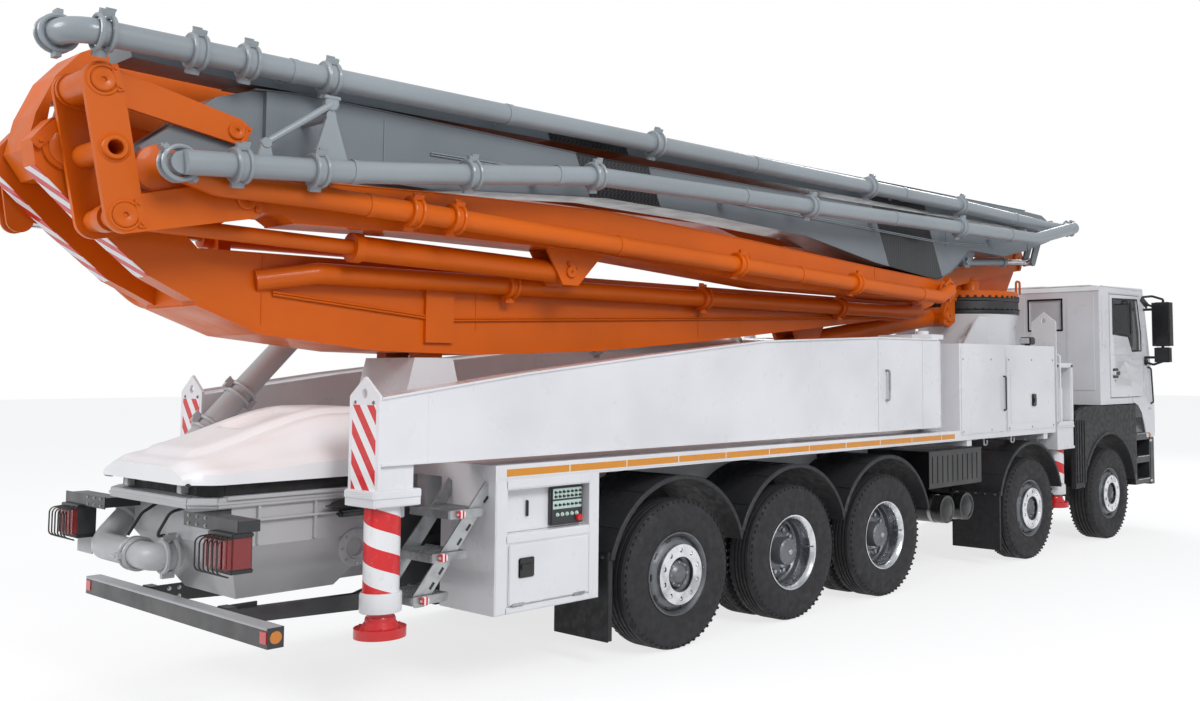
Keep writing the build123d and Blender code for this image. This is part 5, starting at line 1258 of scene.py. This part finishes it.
def hood():
    columns, rows = 56, 64
    skin = bmesh.new()
    grid = []
    for i in range(columns + 1):
        u = i / columns
        half = 690 - 150 * (1 - ease(u, 0.0, 0.17)) ** 2
        line = []
        for k in range(rows + 1):
            v = k / rows * 2 - 1
            line.append(skin.verts.new(spot(-3180 + 1180 * u, half * v, hood_height(u, v))))
        grid.append(line)
    for i in range(columns):
        for k in range(rows):
            skin.faces.new((grid[i][k], grid[i + 1][k], grid[i + 1][k + 1], grid[i][k + 1]))
    rim = [line[0] for line in grid] + grid[-1][1:] + [line[-1] for line in reversed(grid[:-1])] + grid[0][
        -2:0:-1]
    foot = [skin.verts.new((v.co.x, v.co.y, 1.336)) for v in rim]
    for i in range(len(rim)):
        k = (i + 1) % len(rim)
        skin.faces.new((rim[i], rim[k], foot[k], foot[i]))
    bmesh.ops.recalc_face_normals(skin, faces=skin.faces)
    top = max(skin.faces, key=lambda face: face.calc_center_median().z)
    if top.normal.z < 0:
        bmesh.ops.reverse_faces(skin, faces=skin.faces)
    data = bpy.data.meshes.new("hood_shell")
    skin.to_mesh(data)
    skin.free()
    holder = linked("hood_shell", data)
    wall = holder.modifiers.new("wall", "SOLIDIFY")
    wall.thickness, wall.offset = 0.014, -1
    return finished("hood_shell", baked(holder), "hopper_lid", gloss_white, smooth=40)


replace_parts(hood(), "hopper_lid")
brackets = Form()
for y in (-429, 429):
    brackets.ring([(9, y - 29), (18, y - 29), (20, y - 26), (20, y + 26), (18, y + 29), (9, y + 29)],
        (-1965, 0, 1315), "y", 28)
    brackets.block(-2050, -1978, y - 26, y + 26, 1306, 1352, 4)
for y in (-360, 360):
    brackets.block(-3120, -3060, y - 30, y + 30, 1276, 1345, 5)
brackets.done("hood_brackets", "hopper_lid", hopper_grey)
grip = Form()
for y in (-520, 0, 520):
    grip.block(-3168, -3140, y - 45, y + 45, 1326, 1346, 5)
grip.done("hood_catches", "hopper_lid", charcoal)
outline = [(-3145, -520), (-3040, -664), (-1990, -664), (-1990, 664), (-3040, 664), (-3145, 520)]
seal = [(-3080, -500), (-2990, -634), (-2010, -634), (-2010, 634), (-2990, 634), (-3080, 500)]
inner = [(-2890, -560), (-2890, 560), (-2020, 560), (-2020, -560)]


def frame_plate(name, outer_run, low, high, wide, round_by, material):
    """Closed frame that follows an outline, with an open middle."""
    form = Form()
    count = len(outer_run)
    middle = (sum(x for x, y in outer_run) / count, sum(y for x, y in outer_run) / count)

    def inset(x, y):
        return (x - math.copysign(min(wide, abs(x - middle[0])), x - middle[0]),
                y - math.copysign(min(wide, abs(y - middle[1])), y - middle[1]))
    for i in range(count):
        a, b = outer_run[i], outer_run[(i + 1) % count]
        form.plate([a, b, inset(*b), inset(*a)], low, high, "z", round_by)
    return form.done(name, "truck", material)


frame_plate("hood_seal", seal, 1268, 1330, 60, 3, flap_rubber)
frame_plate("hopper_lip", outline, 1204, 1262, 84, 5, hopper_grey)
frame_plate("hopper_lip_bead", [(x - 6 if x < -2500 else x + 6, y + (6 if y > 0 else -6)) for x,
    y in outline], 1224, 1240, 40, 3, hopper_grey)
for side in both_sides():
    face = 640
    rib = Form()
    for x in (-2800, -2460, -2120):
        rib.plate([(x - 8, 990), (x + 8, 990), (x + 8, 1206), (x - 8, 1206)], face, face + 26, "y", 2)
    rib.plate([(-2900, 1120), (-2040, 1120), (-2040, 1134), (-2900, 1134)], face, face + 30, "y", 2)
    rib.done(f"hopper_ribs_{side}", "truck", hopper_grey)
    Form().ring([(52, face - 30), (96, face), (112, face + 2), (112, face + 16), (98, face + 22),
        (70, face + 24), (60, face + 12), (52, face + 12)], (-2190, 0, 905), "y",
        40).done(f"agitator_bearing_{side}", "truck", hopper_grey)
    bolts(f"agitator_bolts_{side}", "truck", circle((-2190, face + 20, 905), 92, 8, "y", 1), 8, 7, steel)
    blocks(f"agitator_motor_{side}", "truck", charcoal, (-2420, -2060, face + 2, face + 96, 1130, 1206, 32),
        subdivide=1)
    Form().block(-2330, -2150, face + 10, face + 80, 1098, 1136, 12).done(
        f"agitator_valve_{side}", "truck", black_paint)
grate = [((-2890 + 62 * i, 0, 1246), ACROSS, UP) for i in range(15)]
bars("hopper_grille", "truck", grate, 1210, 8, 14, charcoal)
bars("hopper_grille_cross", "truck", [((-2455, -560 + 160 * i, 1240), ALONG, UP) for i in range(8)], 900, 8,
    10, charcoal)
low_line = [((-3080, 260, 880), ACROSS, (-1, 0, 0)), ((-3010, 6, 880), ALONG, UP),
    ((-2900, 800, 1078), (520, 0, 570), (-1, 0, 1)), ((-2230, 800, 1804), (700, 0, 750), (-1, 0, 1)),
    ((-2440, 800, 1579), (700, 0, 750), (-1, 0, 1))]
clamp_set("hopper_line_clamps", "truck", low_line, hopper_grey, 88, 34)
rails("outlet_hoses", "truck",
    [[(-2960, -160, 1180), (-3060, -120, 1150), (-3110, -60, 1010), (-3020, 40, 1000)],
    [(-2960, 220, 1190), (-3070, 240, 1120), (-3120, 300, 990)]], 9, 60, flap_rubber)

# ------------------------------------------------------------------ lamps and under-run guard
for side in both_sides():
    lens_form = Form()
    for i in range(5):
        y = (912 + 54 * i)
        lens_form.block(-3216, -3184, y - 22, y + 22, 944, 1106, 6)
    lens_form.done(f"lamp_lenses_{side}", "truck", red_lens)
    end = 1150
    Form().block(-3186, -3086, end, end + 7, 946, 1104, 4).done(f"lamp_end_{side}", "truck", red_lens)
    case = Form()
    case.block(-3192, -3074, 884, 1156, 922, 944, 4)
    case.block(-3192, -3074, 884, 1156, 1106, 1128, 4)
    case.plate([(540, 1124), (1160, 1124), (1160, 1198), (540, 1198)], -3166, -3160, "x", 1)
    case.done(f"lamp_case_{side}", "truck", black_paint)
    loops = [[(-3090, (898 + 50 * i), 1116), (-3262, (898 + 50 * i), 1100), (-3262, (898 + 50 * i), 936),
              (-3262 + 60, (898 + 50 * i), 912)] for i in range(6)]
    loops.append([(-3262 + 60, 898, 912), (-3262 + 60, 1148, 912)])
    rails(f"lamp_guard_{side}", "truck", loops, 4.5, 34, black_paint)
    bolts(f"lamp_arm_bolts_{side}", "truck", [((-3166, y, z), (-1, 0, 0)) for y in (600, 700, 800)
        for z in (1140, 1182)], 7, 5, steel)
    Form().block(-3014, -3009, 1122, 1192, 548, 612, 2).done(f"guard_reflector_{side}", "truck",
        red_reflector)
    Form().ring([(0, 1203), (30, 1203), (33, 1200), (33, 1198), (0, 1198)], (-2964, 0, 580), "y", 32).done(
        f"guard_side_lamp_{side}", "truck", amber_lens)
    blocks(f"guard_brackets_{side}", "truck", charcoal, (-2925, -2700, 462, 470, 536, 640, 3),
        (-2925, -2860, 440, 560, 532, 640, 5))
    bolts(f"guard_bolts_{side}", "truck", [((x, 462, z), (0, -1, 0)) for x in (-2800, -2740)
        for z in (560, 612)], 9, 8, steel)
Form().block(-3013, -2990, -1196, 1196, 618, 634, 3).block(-3012, -2930, -1196, 1196, 631, 635, 1).done(
    "guard_top_strip", "truck", hopper_grey)
Form().block(-3092, -3088, 900, 1146, 812, 930, 1).done("lamp_flap_left", "truck", hopper_grey)

# ------------------------------------------------------------------ mudguards, tanks and frame
# mudguards: X of the axle, inner radius, and the degrees where the arch starts and ends
arcs = ((0, 668, 20.5, 164.8), (1300, 668, 22.7, 159.5), (2580, 668, 15.2, 157.3), (5240, 668, 15.2, 164.8))
for side in both_sides():
    y = 1246
    lips = Form()
    for x, radius, low, high in arcs:
        lips.ring([(radius - 2, y - 4), (radius - 2, y + 4), (radius + 6, y + 8), (radius + 22, y + 8),
            (radius + 30, y), (radius + 30, y - 10)], (x, 0, AXLE_Z), "y", 40, (low, high))
    lips.ring([(688, 1232), (688, 1241), (696, 1244), (722, 1244), (728, 1238), (728, 1230)],
              (7200, 0, AXLE_Z), "y", 44, (9.6, 150))
    lips.done(f"mudguard_lips_{side}", "truck", moulded)
    rib_rows = []
    for x, radius, low, high in arcs:
        for k in range(5):
            turn = math.radians(low + (high - low) * (k + 0.7) / 5.4)
            rib_rows.append((
                (x + (radius + 27) * math.cos(turn), 960, 525 + (radius + 27) * math.sin(turn)), ACROSS,
                (math.cos(turn), 0, math.sin(turn))))
    bars(f"mudguard_ribs_{side}", "truck", rib_rows, 560, 26, 8, moulded)
    for x in (0, 5240):
        blocks(f"mud_flap_{side}_{x}", "truck", flap_rubber, (x - 697, x - 684, 1246, 700, 168, 756, 3),
            (x - 702, x - 696, 1240, 712, 700, 742, 2))
        bolts(f"mud_flap_bolts_{side}_{x}", "truck", [((x - 702, (760 + 110 * i), 721), (-1, 0, 0))
            for i in range(5)], 9, 7, steel)
    # cab's own arch: ribbed rear apron
    apron = Form()
    for i in range(4):
        apron.block(6330 + 62 * i, 6362 + 62 * i, 1234, 1243, 700, 1400, 4)
    apron.block(6296, 6600, 1232, 1242, 1425, 1476, 6)
    apron.done(f"arch_apron_{side}", "truck", moulded)
for x in (3720, 4080):
    Form().ring([(0, -1172), (60, -1168), (104, -1154), (126, -1130), (132, -1110), (132, -1090),
        (0, -1090)], (x, 0, 640), "y", 40).done(f"air_tank_end_{x}", "truck", black_paint)
    bands = Form()
    for y in (-1020, -640):
        bands.ring([(130, y - 18), (134, y - 18), (134, y + 18), (130, y + 18)], (x, 0, 640), "y", 40)
    bands.done(f"air_tank_bands_{x}", "truck", steel)
blocks("battery_cover", "truck", black_paint, (3344, 4306, -1188, -1180, 864, 1196, 6),
    (3340, 4310, -1190, -492, 1186, 1206, 5))
bars("battery_ribs", "truck", [((3420 + 90 * i, -1189, 1030), UP, (0, -1, 0)) for i in range(10)], 250, 30,
    7, black_paint)
straps = Form()
for x in (3560, 4080):
    straps.block(x - 25, x + 25, 1176, 1186, 500, 1060, 3)
    straps.block(x - 25, x + 25, 600, 1180, 1078, 1086, 3)
straps.done("fuel_tank_straps", "truck", steel)
Form().ring([(0, 1180), (44, 1180), (48, 1186), (48, 1206), (40, 1214), (0, 1214)], (3820, 0, 960), "y",
    32).done("fuel_cap", "truck", black_paint)


# ------------------------------------------------------------------ cab
pale_panel = paint("window_blank", linear(206, 206, 209), 0.3, 0.4, 0.05).material
gasket_paint = rubber("window_gasket", linear(26, 26, 29), 0.5).material
WINDOW = [(7430, 2390), (7430, 2810), (8130, 2820), (8225, 2400), (8225, 2210), (7960, 2210), (7860, 2390)]


def outline_band(form, outline, y, wide, proud, deep=4):
    """Flat band that follows a closed outline on a face turned to one side."""
    cx = sum(x for x, z in outline) / len(outline)
    cz = sum(z for x, z in outline) / len(outline)

    def grown_by(point, amount):
        dx, dz = point[0] - cx, point[1] - cz
        length = math.hypot(dx, dz)
        return (point[0] + dx / length * amount, point[1] + dz / length * amount)
    count = len(outline)
    for i in range(count):
        a, b = outline[i], outline[(i + 1) % count]
        form.plate([a, b, grown_by(b, wide), grown_by(a, wide)], y - deep, y + proud, "y", 1.5)
    return form


for side in both_sides():
    body = f"door_{side}"
    shells = islands(body)
    leaf = finished(f"door_leaf_{side}", shells[0], body, white, smooth=30)
    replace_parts(leaf, body)
    for i, shell in enumerate(shells[1:]):
        pane = finished(f"door_pane_{side}" + ("" if i == 0 else f"_{i}"), shell, body, glass, smooth=30)
        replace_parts(pane, body)
    face = DOOR_FACE
    outline_band(Form(), WINDOW, face, 26, 5).done(f"door_gasket_{side}", body, gasket_paint)
    blocks(f"door_window_bar_{side}", body, gasket_paint, (7930, 7950, face - 6, face + 3, 2400, 2812, 2))
    press = Form()
    press.plate([(7360, 2146), (8290, 2146), (8290, 2158), (7360, 2158)], face, face + 4, "y", 1.5)
    press.plate([(7360, 1905), (8290, 1935), (8290, 1945), (7360, 1915)], face, face + 3, "y", 1.2)
    press.done(f"door_creases_{side}", body, white)
    blocks(f"door_handle_{side}", body, black_paint, (7392, 7528, face + 2, face + 14, 1866, 1984, 12),
        (7404, 7516, face + 14, face + 42, 1896, 1954, 9))
    Form().ring([(0, face), (12, face), (13, face + 4), (0, face + 6)], (7460, 0, 1836), "y", 20).done(
        f"door_lock_{side}", body, steel)
    wall = CAB_FACE
    blocks(f"cab_side_panel_{side}", "truck", white, (7120, 7290, wall - 2, wall + 5, 2240, 2840, 14),
        (7062, 7322, wall - 2, wall + 3, 1600, 1612, 1))
    bars(f"cab_louvres_{side}", "truck", [((7086, wall + 2, 2200 + 78 * i), ALONG, ACROSS)
        for i in range(8)], 44, 26, 8, white)
    outline_band(Form(), [(7322, 1628), (7322, 2883), (8196, 2893), (8308, 2404), (8308, 1628)], wall, 9,
        2.5).done(f"door_seal_{side}", "truck", pale_panel)
    corner = [(7960, 1570), (8110, 1535), (8220, 1440), (8300, 1290), (8345, 1120), (8560, 1120),
        (8618, 1180), (8618, 1598), (8300, 1640), (7960, 1622)]
    Form().plate(corner, wall - 4, wall + 8, "y", 6).done(f"cab_lower_corner_{side}", "truck", white)
    Form().block(8330, 8420, wall - 2, wall + 26, 2020, 2110, 14).done(
        f"mirror_foot_{side}", "truck", moulded)
    # mirrors: rounded housings, glasses in plain black paint as a painted reflection, bent arms, and a grab
    # rail
    blocks(f"mirror_shells_{side}", "truck", moulded, (8286, 8394, 1326, 1558, 2256, 2806, 34),
        (8296, 8384, 1344, 1544, 2056, 2244, 28))
    # painted reflection: the mirror glasses are flat black paint
    blocks(f"mirror_painted_reflection_{side}", "truck", black_paint, (8281, 8288, 1350, 1536, 2290, 2770, 3),
        (8291, 8298, 1364, 1526, 2080, 2222, 3))
    rails(f"mirror_arms_{side}", "truck", [
        [(8350, 1190, 2880), (8420, 1290, 2890), (8380, 1450, 2840), (8345, 1450, 2790)],
        [(8390, 1190, 2800), (8410, 1300, 2760), (8350, 1360, 2700)],
        [(8380, 1200, 2060), (8390, 1300, 2030), (8345, 1440, 2070)]], 15, 40, moulded)
    rails(f"cab_grab_{side}", "truck",
        [[(8440, 1204, 2000), (8452, 1242, 1980), (8500, 1242, 1560), (8500, 1204, 1540)]], 11, 24,
        black_paint)
    # cab steps with their treads and markers, and the lamps
    treads = Form()
    for z in (612, 892, 1172):
        treads.block(8044, 8416, 1020, 1216, z, z + 12, 3)
    treads.done(f"cab_treads_{side}", "truck", aluminium)
    edges = Form()
    for z in (584, 1082, 1480):
        edges.block(8424, 8500, 1206, 1216, z - 14, z + 14, 6)
    edges.done(f"step_markers_{side}", "truck", clear_lens)
    Form().ring([(0, 1216), (26, 1216), (30, 1210), (30, 1204), (0, 1204)], (8440, 0, 1150), "y", 28).done(
        f"side_indicator_{side}", "truck", amber_lens)
    lamp = Form()
    lamp.plate([(660, 800), (880, 800), (880, 960), (700, 960)], 8698, 8706, "x", 5)
    lamp.plate([(560, 600), (800, 600), (800, 700), (560, 700)], 8698, 8706, "x", 5)
    lamp.done(f"headlamp_{side}", "truck", clear_lens)
    bezel = Form()
    for y0, y1, z0, z1 in ((646, 894, 786, 800), (646, 894, 960, 974), (646, 660, 790, 970),
            (880, 894, 790, 970)):
        bezel.block(8690, 8705, y0, y1, z0, z1, 3)
    bezel.done(f"headlamp_bezel_{side}", "truck", black_paint)
    Form().block(8690, 8705, 800, 880, 604, 696, 5).done(f"front_indicator_{side}", "truck", amber_lens)
    # work lamp on the tall box
    blocks(f"work_lamp_{side}", "truck", charcoal, (5400, 5520, 1040, 1170, 2236, 2316, 12),
        (5440, 5480, 1080, 1130, 2216, 2240, 4))
    Form().block(5392, 5402, 1052, 1158, 2246, 2306, 3).done(f"work_lens_{side}", "truck", clear_lens)
    # rear wall of the cab with its windows' gaskets and pressed panels, and the front leg's back plate
    y0, y1 = 300, 720
    gasket = Form()
    for a, b in (((y0 - 22, 2428), (y1 + 22, 2450)), ((y0 - 22, 2800), (y1 + 22, 2822)),
            ((y0 - 22, 2428), (y0, 2822)), ((y1, 2428), (y1 + 22, 2822))):
        gasket.block(7042, 7052, a[0], b[0], a[1], b[1], 4)
    gasket.done(f"rear_window_gasket_{side}", "truck", gasket_paint)
    blocks(f"rear_wall_panels_{side}", "truck", white, (7044, 7052, 790, 1140, 1720, 2860, 10),
        (7044, 7052, 20, 240, 1720, 2860, 10))
    blocks(f"front_leg_back_{side}", "truck", white, (5850, 6240, 900, 930, 1400, 2210, 4))

glass_shells = islands("cab_glass")
for i, shell in enumerate(sorted(glass_shells, key=lambda mesh: -max(v.co.x for v in mesh.vertices))):
    pane = finished(f"cab_pane_{i}", shell, "truck", glass if i == 0 else pale_panel, smooth=30)
    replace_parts(pane, "cab_glass")
blocks("roof_panels", "truck", white, (7160, 8120, -1060, 1060, 2958, 2978, 14),
    (7420, 7900, -320, 320, 2970, 3006, 20))
gutter = Form()
for way in (-1, 1):
    gutter.block(7130, 8330, way * 1180, way * 1204, 2944, 2962, 5)
gutter.block(7046, 7066, -1200, 1200, 2888, 2902, 4)
gutter.done("roof_gutters", "truck", pale_panel)
visor = Form()
visor.plate([(8318, 2890), (8520, 2800), (8530, 2812), (8330, 2912)], -1080, 1080, "y", 4)
for way in (-1, 1):
    visor.plate([(8240, 2830), (8318, 2890), (8520, 2800), (8440, 2730)], way * 1196, way * 1208, "y", 4)
visor.done("sun_visor", "truck", moulded)
grille = Form()
grille.block(8616, 8630, -860, 860, 1150, 1176, 6)
grille.block(8616, 8630, -860, 860, 1530, 1556, 6)
for way in (-1, 1):
    grille.block(8616, 8630, way * 836, way * 862, 1150, 1556, 6)
grille.done("grille_frame", "truck", charcoal)
Form().block(8614, 8624, -840, 840, 1170, 1535, 2).done("grille_back", "truck", black_paint)
bars("grille_bars", "truck", [((8630, 0, 1200 + 44 * i), ACROSS, ALONG) for i in range(8)], 1660, 20, 14,
    charcoal)
scuttle = Form()
scuttle.plate([(8500, 2080), (8524, 2084), (8570, 1930), (8548, 1925)], -1080, 1080, "y", 3)
scuttle.done("scuttle_panel", "truck", moulded)
rails("wipers", "truck", [[(8560, y, 1990), (8540, y + 40, 2080), (8470, y + 330, 2330)]
    for y in (-760, -120, 520)], 8, 40, black_paint)
blocks("bumper_panels", "truck", charcoal, (8694, 8704, -880, 880, 1040, 1112, 4),
    (8694, 8704, -540, 540, 560, 760, 5))
Form().block(8700, 8704, -260, 260, 880, 990, 2).done("front_plate", "truck", white)
marker_rows = [((8330, y, 2984), UP) for y in (-980, -330, 0, 330, 980)]
bolts("roof_markers", "truck", marker_rows, 22, 16, amber_lens)
# railing ahead of the boom's foot
rails("turret_railing", "turret", [[(6500, y, 2862), (6500, y, 3010), (6590, y, 3010), (6590, y, 2862)]
    for y in (-420, 420)], 14, 30, orange)
